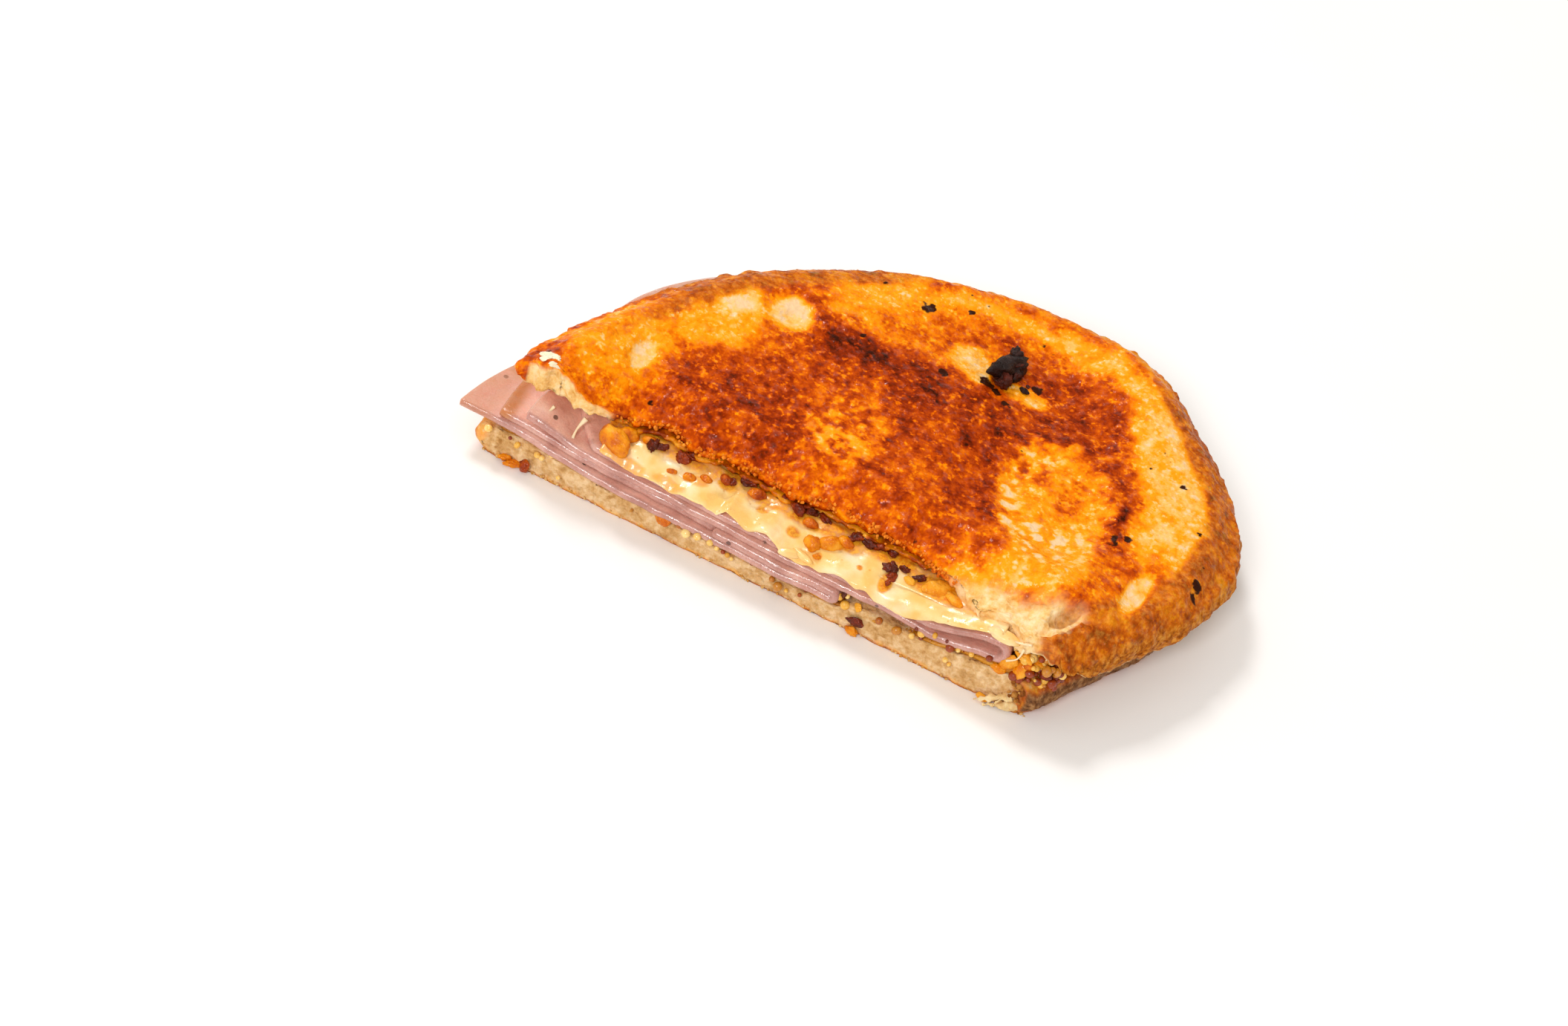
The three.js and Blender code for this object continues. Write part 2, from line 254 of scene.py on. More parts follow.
@dataclass(frozen=True)
class Stack:
    """The heights of the layers above the board, and their edges seen from above.

    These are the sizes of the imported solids, so that each layer's fine mesh lies in its solid.
    """

    loaf: Loaf = Loaf()
    lower_slip: float = -6.0
    gap: float = 0.3
    loose_gap: float = 0.6
    slice_thick: float = 1.5
    lower_thick: float = 5.0
    mustard_thick: float = 0.5
    lip_thick: float = 1.3
    cheese_thick: float = 1.8
    onion_thick: float = 0.6
    upper_thick: float = 6.0
    steep_drape: float = 15.0
    least_flap: float = 6.0
    lowest: Disc = Disc(-16, -6, 56.5, 0.2, fold_x=12.5)
    second: Disc = Disc(-6, 8, 58, 0.9)
    third: Disc = Disc(4.5, -4, 62.6, 0.4, fold_x=47.5)
    topmost: Disc = Disc(-11, 34.5, 46.5, 1.2)

    @property
    def pitch(self) -> float:
        """The height of one slice of bologna and the gap over it."""
        return self.slice_thick + self.gap

    def under(self, distance: Array, drape: float = 24.0) -> Array:
        """How much of a layer's height is felt past its edge by what lies over it."""
        return 1 - smooth(0, drape, distance)

    def upper_front(self, x: Array) -> Array:
        """How far the pressed front edge of the upper slice is drawn back from the cut."""
        drawn = lerp(lerp(3.5, 7.5, smooth(-50, -38, x)), 1.5, smooth(26, 52, x))
        return drawn + 0.5 * np.sin(x / 3.1) + 0.3 * np.sin(x / 1.7 + 1)

    def fried_front(self, x: Array) -> Array:
        """How far the ragged fried edge is drawn back from the cut."""
        shrunk = lerp(1.2, 2.5, smooth(-30, 5, x)) * smooth(-40, -34, x) * (1 - smooth(20, 28, x))
        return self.upper_front(x) + shrunk

    def lower_crust(self, x: Array, y: Array) -> Array:
        """How far a place is outside the lower slice's crust."""
        return self.loaf.outside(x, y, self.lower_slip)

    def lower_top(self, x: Array, y: Array) -> Array:
        """The top of the lower slice of bread."""
        risen = lerp(2.04, 3.4, smooth(-50, 10, x)) * smooth(-32, -4, self.lower_crust(x, y))
        return self.lower_thick + risen - 1.2 * bell(x, 2, 26) * bell(y, 0, 26)

    def mustard_bottom(self, x: Array, y: Array) -> Array:
        """The underside of the mustard."""
        return self.lower_top(x, y) + self.gap

    def mustard_top(self, x: Array, y: Array) -> Array:
        """The top of the mustard, with its clump at the right end."""
        return self.mustard_bottom(x, y) + self.mustard_thick + 0.8 * smooth(30, 54, x) * bell(y, 0, 18)

    def lowest_level(self, x: Array, y: Array) -> Array:
        """What the lowest slice of bologna lies on."""
        return self.mustard_top(x, y) + self.gap

    def second_level(self, x: Array, y: Array) -> Array:
        """What the second slice and the lowest one's flap lie on."""
        return self.lowest_level(x, y) + self.pitch * self.under(self.lowest.outside_folded(x, y))

    def third_level(self, x: Array, y: Array) -> Array:
        """What the third slice lies on."""
        past = np.maximum(self.second.outside(x, y), x - self.lowest.fold_x)
        return self.second_level(x, y) + self.pitch * self.under(past)

    def flap_level(self, x: Array, y: Array) -> Array:
        """What the third slice's flap lies on, which gapes at its fold.

        Args:
            x: along the cut.
            y: behind the cut.

        Returns:
            Millimetres above the board.
        """
        past = 1 - smooth(0, 22, x - self.third.fold_x)
        gaping = 2.4 * smooth(24, 42, x) * past * bell(y, 0, 22)
        folded = self.under(self.third.outside_folded(x, y))
        return self.third_level(x, y) + self.pitch * folded + gaping

    def topmost_level(self, x: Array, y: Array) -> Array:
        """What the topmost slice lies on."""
        flap = self.third.outside_flap(x, y, self.least_flap)
        return self.flap_level(x, y) + self.pitch * self.under(flap, self.steep_drape)

    def cheese_bottom(self, x: Array, y: Array) -> Array:
        """The underside of the cheese."""
        topmost = self.topmost.outside(x, y)
        return self.topmost_level(x, y) + self.pitch * self.under(topmost, self.steep_drape)

    def cheese_swell(self, x: Array, y: Array) -> Array:
        """How thick the cheese is behind its lip."""
        return self.cheese_thick + 1.2 * bell(y, 7, 13) * smooth(-50, -30, x)

    def cheese_top(self, x: Array, y: Array) -> Array:
        """The top of the cheese, which slopes down to a lip at the cut."""
        thick = lerp(self.lip_thick, self.cheese_swell(x, y), smooth(0, 8, y))
        return self.cheese_bottom(x, y) + thick

    def onion_bottom(self, x: Array, y: Array) -> Array:
        """The underside of the onion."""
        return self.cheese_bottom(x, y) + self.cheese_swell(x, y) + self.loose_gap

    def onion_top(self, x: Array, y: Array) -> Array:
        """The top of the onion."""
        return self.onion_bottom(x, y) + self.onion_thick

    def at_tip(self, x: Array, y: Array) -> Array:
        """How near a place is to the upper slice's curled left tip, from 0 to 1."""
        return smooth(-38, -62, x) * bell(y, 0, 24)

    def upper_bottom(self, x: Array, y: Array) -> Array:
        """The underside of the upper slice of bread."""
        past = smooth(-8, 0, self.loaf.outside(x, y)) * smooth(-30, 20, x)
        return self.onion_top(x, y) + self.loose_gap - 0.8 * past + 1.8 * self.at_tip(x, y)

    def upper_top(self, x: Array, y: Array) -> Array:
        """The fried face of the upper slice, pinched at the cut and rounded at the crust.

        Args:
            x: along the cut.
            y: behind the cut.

        Returns:
            Millimetres above the board.
        """
        behind = y - self.upper_front(x)
        crust = self.loaf.outside(x, y)
        near_cut = (1 - smooth(0, 12, behind)) * (1 - self.at_tip(x, y))
        torn = 0.4 * smooth(30, 44, x) * (1 - smooth(4, 16, behind))
        rounded = 0.25 * smooth(-6, 0, crust)
        risen = 1.2 * smooth(-32, -8, crust) * smooth(0, 30, y) * smooth(-40, 10, x)
        swollen = (self.upper_thick + risen + 3.6 * self.at_tip(x, y)) * (1 - 0.7 * near_cut)
        wave = 0.5 * np.sin(x / 17 + 1) * np.cos(y / 19) * smooth(0, 14, behind)
        return self.upper_bottom(x, y) + swollen * (1 - torn) * (1 - rounded) + wave


@dataclass(frozen=True)
class CutFrame:
    """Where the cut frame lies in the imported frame: what is added to x, y and z."""

    shift: Triple

    @classmethod
    def from_packed(cls) -> "CutFrame":
        """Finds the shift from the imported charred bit, whose place in the cut frame is known.

        Returns:
            The frame.
        """
        low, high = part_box("charred_bit")
        middle = (low + high) / 2 / METRES
        return cls((middle.x - CharredBit.x, middle.y - CharredBit.y, 0.0))

    def to_metres(self, points: Array) -> Array:
        """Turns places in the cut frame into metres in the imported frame."""
        return (np.asarray(points, float) + self.shift) * METRES


# ---- surfaces


def linked(name: str, data: bpy.types.ID) -> Object:
    """Puts data into the scene as an object.

    Args:
        name: the object's name.
        data: a mesh, a light or a camera.

    Returns:
        The object.
    """
    made = bpy.data.objects.new(name, data)
    bpy.context.scene.collection.objects.link(made)
    return made


@dataclass
class Surface:
    """Points and faces in the cut frame, with numbers for the finish at each point.

    Attributes:
        points: three numbers a point, in millimetres.
        quads: four point numbers a face, anticlockwise from outside.
        triangles: three point numbers a face, the same way round.
        values: one number a point under each name.
    """

    points: Array
    quads: Array
    triangles: Array = field(default_factory=lambda: np.zeros((0, 3), int))
    values: dict[str, Array] = field(default_factory=dict)

    def normals(self) -> Array:
        """The outward direction at each point, one unit long.

        Returns:
            Three numbers a point.
        """
        total = np.zeros_like(self.points)
        for faces in (self.quads, self.triangles):
            if not len(faces):
                continue
            corners = self.points[faces]
            across = corners[:, 2] - corners[:, 0]
            other = corners[:, -1] - corners[:, 1]
            areas = np.cross(across, other)
            for column in faces.T:
                for axis in range(3):
                    total[:, axis] += np.bincount(column, areas[:, axis], len(total))
        return total / np.maximum(np.linalg.norm(total, axis=1, keepdims=True), 1e-12)

    def push(self, amounts: Array) -> "Surface":
        """Moves each point outwards by its own amount."""
        self.points = self.points + self.normals() * np.asarray(amounts)[:, None]
        return self

    def painted(self, **values: Array | float) -> "Surface":
        """Sets named values, each one number or one number a point."""
        self.values |= {name: np.full(len(self.points), value, float) for name, value in values.items()}
        return self

    @staticmethod
    def joined(surfaces: Sequence["Surface"]) -> "Surface":
        """One surface of several.

        Args:
            surfaces: the parts, which need not touch.

        Returns:
            One surface, with 0 for a value that a part lacks.
        """
        starts = np.cumsum([0] + [len(s.points) for s in surfaces])
        return Surface(
            np.concatenate([s.points for s in surfaces]),
            np.concatenate([s.quads + start for s, start in zip(surfaces, starts)]),
            np.concatenate([s.triangles + start for s, start in zip(surfaces, starts)]),
            {
                name: np.concatenate([s.values.get(name, np.zeros(len(s.points))) for s in surfaces])
                for name in sorted({name for s in surfaces for name in s.values})
            },
        )

    def to_object(self, name: str, place: CutFrame, material: Material) -> Object:
        """Makes the Blender object.

        Args:
            name: the piece's name.
            place: turns the points into metres.
            material: the piece's finish.

        Returns:
            The object, at the origin, with its place in its mesh.
        """
        mesh = bpy.data.meshes.new(name)
        mesh.vertices.add(len(self.points))
        mesh.vertices.foreach_set("co", place.to_metres(self.points).ravel())
        corners = np.concatenate([self.quads.ravel(), self.triangles.ravel()])
        sizes = np.concatenate([np.full(len(self.quads), 4), np.full(len(self.triangles), 3)])
        mesh.loops.add(len(corners))
        mesh.loops.foreach_set("vertex_index", corners)
        mesh.polygons.add(len(sizes))
        mesh.polygons.foreach_set("loop_start", np.cumsum(sizes) - sizes)
        mesh.polygons.foreach_set("use_smooth", np.ones(len(sizes), bool))
        mesh.update(calc_edges=True)
        mesh.validate()
        for value_name, numbers in self.values.items():
            layer = mesh.attributes.new(value_name, "FLOAT", "POINT")
            layer.data.foreach_set("value", numbers.astype(np.float32))
        mesh.materials.append(material)
        return linked(name, mesh)


def lattice_faces(index: Array) -> Array:
    """The corners of each cell in rows and columns of point numbers, anticlockwise."""
    return np.stack([index[:-1, :-1], index[:-1, 1:], index[1:, 1:], index[1:, :-1]], axis=-1)


@dataclass(frozen=True)
class Slab:
    """Builds a closed body between two heights over a stretch of the board.

    Attributes:
        outside: how far outside its outline a place is.
        top: its upper height.
        bottom: its lower height.
        spacing: the width of its faces.
        wall_rows: rows of points down its wall.
        bulge: how far its wall stands out, from the place and the share of the way down.
        span_x: where along the cut it may lie.
        span_y: the same behind the cut.
    """

    outside: Field
    top: Field
    bottom: Field
    spacing: float
    wall_rows: int = 4
    bulge: Callable[[Array, Array, Array], Array] | None = None
    span_x: tuple[float, float] = (-80.0, 86.0)
    span_y: tuple[float, float] = (-4.0, 102.0)

    def build(self) -> Surface:
        """Makes the body.

        Returns:
            Its surface, with the values "wall" (1 on the wall), "down" (0 at the top of the
            wall to 1 at its foot) and "under" (1 on the underside).
        """
        spans = (np.arange(*span, self.spacing) for span in (self.span_x, self.span_y))
        grid = np.array(np.meshgrid(*spans))
        kept = self._kept_cells(grid)
        uses = np.zeros(grid.shape[1:], int)
        rows, columns = kept.shape
        for down, right in np.ndindex(2, 2):
            uses[down : down + rows, right : right + columns] += kept
        used = uses > 0
        index = np.full(used.shape, -1)
        index[used] = np.arange(used.sum())
        corners = lattice_faces(index)
        places = self._snapped(grid[:, used], uses[used] < 4)
        return self._closed(places, corners[kept], *self._rim(corners, kept))

    def _kept_cells(self, grid: Array) -> Array:
        """The cells whose middles lie inside, with none that only touch at a corner.

        Args:
            grid: the lattice's x and y.

        Returns:
            True for each cell that is kept.
        """
        kept = self.outside(*(grid[:, :-1, :-1] + self.spacing / 2)) < 0
        for _ in range(4):
            near, right = kept[:-1, :-1], kept[:-1, 1:]
            above, across = kept[1:, :-1], kept[1:, 1:]
            rising = near & across & ~right & ~above
            falling = right & above & ~near & ~across
            kept[:-1, 1:] |= rising
            kept[:-1, :-1] |= falling
        return kept

    def _rise(self, x: Array, y: Array) -> Array:
        """How much the distance outside grows along x and along y, over half a face."""
        steps = ((self.spacing / 4, 0), (0, self.spacing / 4))
        return np.stack([self.outside(x + i, y + j) - self.outside(x - i, y - j) for i, j in steps])

    def _snapped(self, places: Array, rim: Array) -> Array:
        """Moves the rim's points onto the outline.

        Args:
            places: every point's x and y, which are changed.
            rim: True for the points on the rim.

        Returns:
            The same places.
        """
        first = here = places[:, rim]
        for _ in range(4):
            slope = self._rise(*here) / (self.spacing / 2)
            here = here - slope * self.outside(*here) / np.maximum((slope**2).sum(axis=0), 0.2)
            move = here - first
            here = first + move / np.maximum(np.hypot(*move) / (0.8 * self.spacing), 1)
        places[:, rim] = here
        return places

    @staticmethod
    def _rim(corners: Array, kept: Array) -> tuple[Array, Array]:
        """The edges round the outline, anticlockwise.

        Args:
            corners: each cell's point numbers.
            kept: True for each cell that is kept.

        Returns:
            The point numbers where the edges start and where they end.
        """
        wide = np.pad(kept, 1)
        beside = (wide[:-2, 1:-1], wide[1:-1, 2:], wide[2:, 1:-1], wide[1:-1, :-2])
        starts, ends = [], []
        for side, neighbour in enumerate(beside):
            open_side = kept & ~neighbour
            starts.append(corners[open_side][:, side])
            ends.append(corners[open_side][:, (side + 1) % 4])
        return np.concatenate(starts), np.concatenate(ends)

    def _closed(self, places: Array, faces: Array, starts: Array, ends: Array) -> Surface:
        """Closes the body with its underside and its wall.

        Args:
            places: the x and y of the top's points.
            faces: the top's faces.
            starts: where each edge round the outline starts.
            ends: where it ends.

        Returns:
            The body's surface.
        """
        count, top, bottom = places.shape[1], self.top(*places), self.bottom(*places)
        rim = np.unique(starts)
        place = np.full(count, -1)
        place[rim] = np.arange(len(rim))
        edge = places[:, rim]
        out = self._rise(*edge)
        out /= np.maximum(np.hypot(*out), 1e-9)
        points = [table(*places, top), table(*places, bottom)]
        downs = [np.zeros(count), np.ones(count)]
        columns = [np.arange(count)]
        for row in range(self.wall_rows):
            down = np.full(len(rim), (row + 1) / (self.wall_rows + 1))
            stand = 0.0 if self.bulge is None else self.bulge(*edge, down)
            height = lerp(top[rim], bottom[rim], down)
            points.append(table(*(edge + out * stand), height))
            downs.append(down)
            columns.append(2 * count + row * len(rim) + place)
        columns.append(count + np.arange(count))
        quads = [faces, faces[:, ::-1] + count]
        for upper, lower in zip(columns, columns[1:]):
            quads.append(table(upper[starts], lower[starts], lower[ends], upper[ends]))
        wall, under = np.zeros((2, sum(len(part) for part in points)))
        wall[2 * count :] = 1
        wall[rim] = wall[count + rim] = 0.5
        under[count : 2 * count] = 1
        made = Surface(np.concatenate(points), np.concatenate(quads))
        return made.painted(wall=wall, down=np.concatenate(downs), under=under)


def shell(over: Array, under: Array, rim_rows: int, bulge: float) -> Surface:
    """A closed sheet between two matching lattices of points.

    Args:
        over: rows by columns by three numbers, the side that looks up at the start of a row.
        under: the other side.
        rim_rows: rows of points between the two sides round the rim.
        bulge: how far the rim is rounded out.

    Returns:
        The surface, with the value "cut", which is 1 on the first row's wall.
    """
    rows, columns = over.shape[:2]
    count = rows * columns
    index = np.arange(count).reshape(rows, columns)
    faces = lattice_faces(index).reshape(-1, 4)
    rim = np.concatenate([index[0], index[1:-1, -1], index[-1, ::-1], index[-2:0:-1, 0]])
    inner = np.concatenate([index[1], index[1:-1, -2], index[-2, ::-1], index[-2:0:-1, 1]])
    over, under = over.reshape(-1, 3), under.reshape(-1, 3)
    middle = (over + under) / 2
    out = middle[rim] - middle[inner]
    out /= np.maximum(np.linalg.norm(out, axis=1, keepdims=True), 1e-9)
    points, levels = [over, under], [rim]
    for row in range(rim_rows):
        down = (row + 1) / (rim_rows + 1)
        stand = bulge * np.sin(np.pi * down)
        points.append(lerp(over[rim], under[rim], down) + out * stand)
        levels.append(2 * count + row * len(rim) + np.arange(len(rim)))
    levels.append(count + rim)
    quads = [faces, faces[:, ::-1] + count]
    for upper, lower in zip(levels, levels[1:]):
        quads.append(table(upper, lower, np.roll(lower, -1), np.roll(upper, -1)))
    made = Surface(np.concatenate(points), np.concatenate(quads))
    cut = np.zeros(len(made.points))
    for start in (0, count, *(2 * count + row * len(rim) for row in range(rim_rows))):
        cut[start : start + columns] = 1
    return made.painted(cut=cut)


def ball(subdivisions: int) -> Surface:
    """A ball of radius 1 with even faces.

    Args:
        subdivisions: how often its faces are split.

    Returns:
        Its surface, round the origin.
    """
    built = bmesh.new()
    bmesh.ops.create_icosphere(built, subdivisions=subdivisions, radius=1)
    points = np.array([vertex.co[:] for vertex in built.verts])
    triangles = np.array([[vertex.index for vertex in face.verts] for face in built.faces])
    built.free()
    return Surface(points, np.zeros((0, 4), int), triangles)


@dataclass(frozen=True)
class Lump:
    """An uneven lump, such as a scrap of onion or a crumb.

    Its half sizes are half its length, width and height, and rough is a share of them.
    """

    at: Triple
    half: Triple
    tint: float = 0.0
    rough: float = 0.4
    seed: int = 0

    def build(self) -> Surface:
        """Makes the lump, turned about the vertical by its seed.

        Returns:
            Its surface, with the value "tint".
        """
        made = ball(4)
        uneven = Noise(1, self.seed, 4).at(made.points + 50)
        finer = Noise(0.35, self.seed + 7, 2).at(made.points + 50)
        made.points = made.points * (1 + self.rough * (uneven + 0.35 * finer))[:, None] * self.half
        angle = 0.5 * np.sin(9.1 * self.seed)
        turn = np.array(Matrix.Rotation(angle, 3, "Z") @ Matrix.Rotation(0.8 * angle, 3, "X"))
        made.points = made.points @ turn.T + self.at
        return made.painted(tint=self.tint + 0.35 * Noise(2, self.seed, 2).at(made.points))


def strewn(rows: Sequence[Row], top: Field, rough: float, seed: int) -> list[Surface]:
    """Lumps that lie on a surface.

    Args:
        rows: for each its x, its y, the height of its middle over the surface, half its length,
            width and height, and its tint.
        top: the surface's height.
        rough: how uneven they are.
        seed: picks their shapes.

    Returns:
        Their surfaces.
    """
    made = []
    for count, (x, y, above, *half, tint) in enumerate(rows):
        height = float(top(np.array(x), np.array(y))) + above
        made.append(Lump((x, y, height), tuple(half), tint, rough, seed + count).build())
    return made


def tube(path: Sequence[Triple], radii: Sequence[float], sides: int = 10) -> Surface:
    """A closed tube along a smooth path, as for a string of cheese.

    Args:
        path: places along it.
        radii: its radius at each place.
        sides: points round it.

    Returns:
        The surface.
    """
    t = np.arange(8)[:, None] / 8
    curves = [-t + 2 * t**2 - t**3, 2 - 5 * t**2 + 3 * t**3, t + 4 * t**2 - 3 * t**3, t**3 - t**2]
    weights = 0.5 * np.hstack(curves)
    knots = np.column_stack([path, radii])
    knots = np.vstack([knots[:1], knots, knots[-1:]])
    smoothed = [weights @ knots[i : i + 4] for i in range(len(path) - 1)]
    *line, widths = np.vstack([*smoothed, knots[-1:]]).T
    line, widths = np.stack(line, axis=1), np.maximum(widths, 0.01)[:, None, None]
    along = np.gradient(line, axis=0)
    along /= np.linalg.norm(along, axis=1, keepdims=True)
    side = np.cross(along, np.roll(along, 1, axis=1) + [0.1, 0.7, 0.3])
    side /= np.linalg.norm(side, axis=1, keepdims=True)
    other = np.cross(along, side)
    angles = (2 * np.pi * np.arange(sides) / sides)[:, None]
    round_it = np.cos(angles) * side[:, None] + np.sin(angles) * other[:, None]
    rings = line[:, None] + widths * round_it
    count = len(line) * sides
    index = np.arange(count).reshape(len(line), sides)
    index = np.column_stack([index, index[:, 0]])
    points = np.concatenate([rings.reshape(-1, 3), line[:1], line[-1:]])
    first = [[count, index[0, i + 1], index[0, i]] for i in range(sides)]
    last = [[count + 1, index[-1, i], index[-1, i + 1]] for i in range(sides)]
    return Surface(points, lattice_faces(index).reshape(-1, 4), np.array(first + last))


# ---- node trees


def linear(colour: str) -> tuple[float, float, float, float]:
    """Turns a screen colour, written as six hex digits, into Blender's linear one.

    Args:
        colour: such as "#ffffff".

    Returns:
        Its red, green and blue, and 1.
    """
    parts = np.array([int(colour[i : i + 2], 16) / 255 for i in (1, 3, 5)])
    light = np.where(parts <= 0.04045, parts / 12.92, ((parts + 0.055) / 1.055) ** 2.4)
    return (*light.tolist(), 1.0)


def fill(node: bpy.types.Node, inputs: Inputs) -> None:
    """Links or sets a node's inputs.

    Args:
        node: the node.
        inputs: under each input's name or number, the socket to link or the value to set.
    """
    for name, value in inputs.items():
        if isinstance(value, Socket):
            node.id_data.links.new(value, node.inputs[name])
        else:
            node.inputs[name].default_value = value


def output(
    tree: bpy.types.NodeTree, kind: str, inputs: Inputs, which: str | int = 0, **settings: str
) -> Socket:
    """Adds a node to a tree and gives one of its outputs.

    Args:
        tree: the node tree.
        kind: the node's type.
        inputs: what goes into it, as fill takes it.
        which: the output's name or number.
        settings: its other settings, such as its operation.

    Returns:
        The output's socket.
    """
    node = tree.nodes.new(kind)
    for name, value in settings.items():
        setattr(node, name, value)
    fill(node, inputs)
    return node.outputs[which]


class Recipe:
    """Builds one material out of nodes, on Object coordinates and the piece's own values."""

    def __init__(self, name: str) -> None:
        """Starts the material.

        Args:
            name: the material's name.
        """
        self.material = bpy.data.materials.new(name)
        self.material.use_nodes = True
        self.tree = self.material.node_tree
        self.tree.nodes.clear()
        self.shader = self.tree.nodes.new("ShaderNodeBsdfPrincipled")
        fill(self.tree.nodes.new("ShaderNodeOutputMaterial"), {"Surface": self.shader.outputs["BSDF"]})
        self.places = output(self.tree, "ShaderNodeTexCoord", {}, "Object")

    def value(self, name: str) -> Socket:
        """The piece's own value of that name."""
        return output(self.tree, "ShaderNodeAttribute", {}, "Fac", attribute_name=name)

    def _texture(self, size: float, seed: float) -> Inputs:
        """A texture's place and scale, for lumps of a size in millimetres."""
        inputs = {"Vector": self.places, "Location": (seed * 0.137, seed * 0.071, seed * 0.213)}
        return {"Vector": output(self.tree, "ShaderNodeMapping", inputs), "Scale": 1 / (size * METRES)}

    def noise(self, size: float, seed: float, detail: float = 2.0, roughness: float = 0.5) -> Socket:
        """Soft random values from about 0.2 to 0.8, in lumps of a size in millimetres."""
        inputs = {**self._texture(size, seed), "Detail": detail, "Roughness": roughness}
        return output(self.tree, "ShaderNodeTexNoise", inputs, "Fac")

    def cells(self, size: float, seed: float) -> Socket:
        """The distance to the middle of random cells, in cells."""
        return output(self.tree, "ShaderNodeTexVoronoi", self._texture(size, seed), "Distance")

    def math(self, operation: str, first: Socket | float, second: Socket | float) -> Socket:
        """One sum on two values."""
        return output(self.tree, "ShaderNodeMath", {0: first, 1: second}, operation=operation)

    def blend(self, *parts: tuple[Socket, Socket | float]) -> Socket:
        """Adds up values, each times its own share."""
        scaled = [self.math("MULTIPLY", value, share) for value, share in parts]
        return reduce(lambda total, part: self.math("ADD", total, part), scaled)

    def spread(self, value: Socket, low: float, high: float, start: float = 0.0, end: float = 1.0) -> Socket:
        """Maps low to start and high to end, and keeps between them."""
        inputs = {"Value": value, "From Min": low, "From Max": high, "To Min": start, "To Max": end}
        return output(self.tree, "ShaderNodeMapRange", inputs, interpolation_type="SMOOTHSTEP")

    def ramp(self, value: Socket, stops: Sequence[tuple[float, str]]) -> Socket:
        """A colour that runs through the stops as the value grows.

        Args:
            value: the value's socket.
            stops: each a value and a screen colour.

        Returns:
            The colour's socket.
        """
        colour = output(self.tree, "ShaderNodeValToRGB", {"Fac": value}, "Color")
        elements = colour.node.color_ramp.elements
        while len(elements) < len(stops):
            elements.new(0.5)
        for element, (position, shade) in zip(elements, stops):
            element.position = position
            element.color = linear(shade)
        return colour

    def mixed(self, share: Socket | float, low: Socket | str, high: Socket | str) -> Socket:
        """A blend of two colours, each a socket or a screen colour, from low at 0 to high at 1."""
        low, high = (linear(side) if isinstance(side, str) else side for side in (low, high))
        return output(self.tree, "ShaderNodeMix", {0: share, 6: low, 7: high}, 2, data_type="RGBA")

    def relief(self, *layers: tuple[Socket, float]) -> None:
        """Sets the surface's relief.

        Args:
            layers: each a height from 0 to 1 and what 1 stands for, in millimetres.
        """
        normal = {}
        for height, depth in layers:
            inputs = {"Height": height, "Distance": depth * METRES, **normal}
            normal = {"Normal": output(self.tree, "ShaderNodeBump", inputs)}
        fill(self.shader, {**normal, "Coat Normal": normal["Normal"]})

    def finish(self, colour: Socket, **settings: Socket | float) -> Material:
        """Sets the colour and the shader's other sockets, and gives the material.

        Args:
            colour: the base colour.
            settings: values for the shader's sockets, with _ for a space in each name.

        Returns:
            The material.
        """
        named = {name.replace("_", " ").title().replace("Ior", "IOR"): settings[name] for name in settings}
        fill(self.shader, {"Base Color": colour, **named})
        return self.material

    def soft(self, weight: float, *radius: float) -> None:
        """Lets a share of the light sink in, red, green and blue each by a radius in millimetres."""
        inputs = {"Weight": weight, "Radius": radius, "Scale": METRES}
        fill(self.shader, {f"Subsurface {name}": value for name, value in inputs.items()})


# ---- finishes


FRIED_AT = (0.0, 0.14, 0.28, 0.42, 0.55, 0.68, 0.82, 1.0)
FRIED_SHADES = (
    "#efc898", "#f8be66", "#fca214", "#f88e02", "#e87000", "#c44a00", "#942b00", "#3a0f00",
)


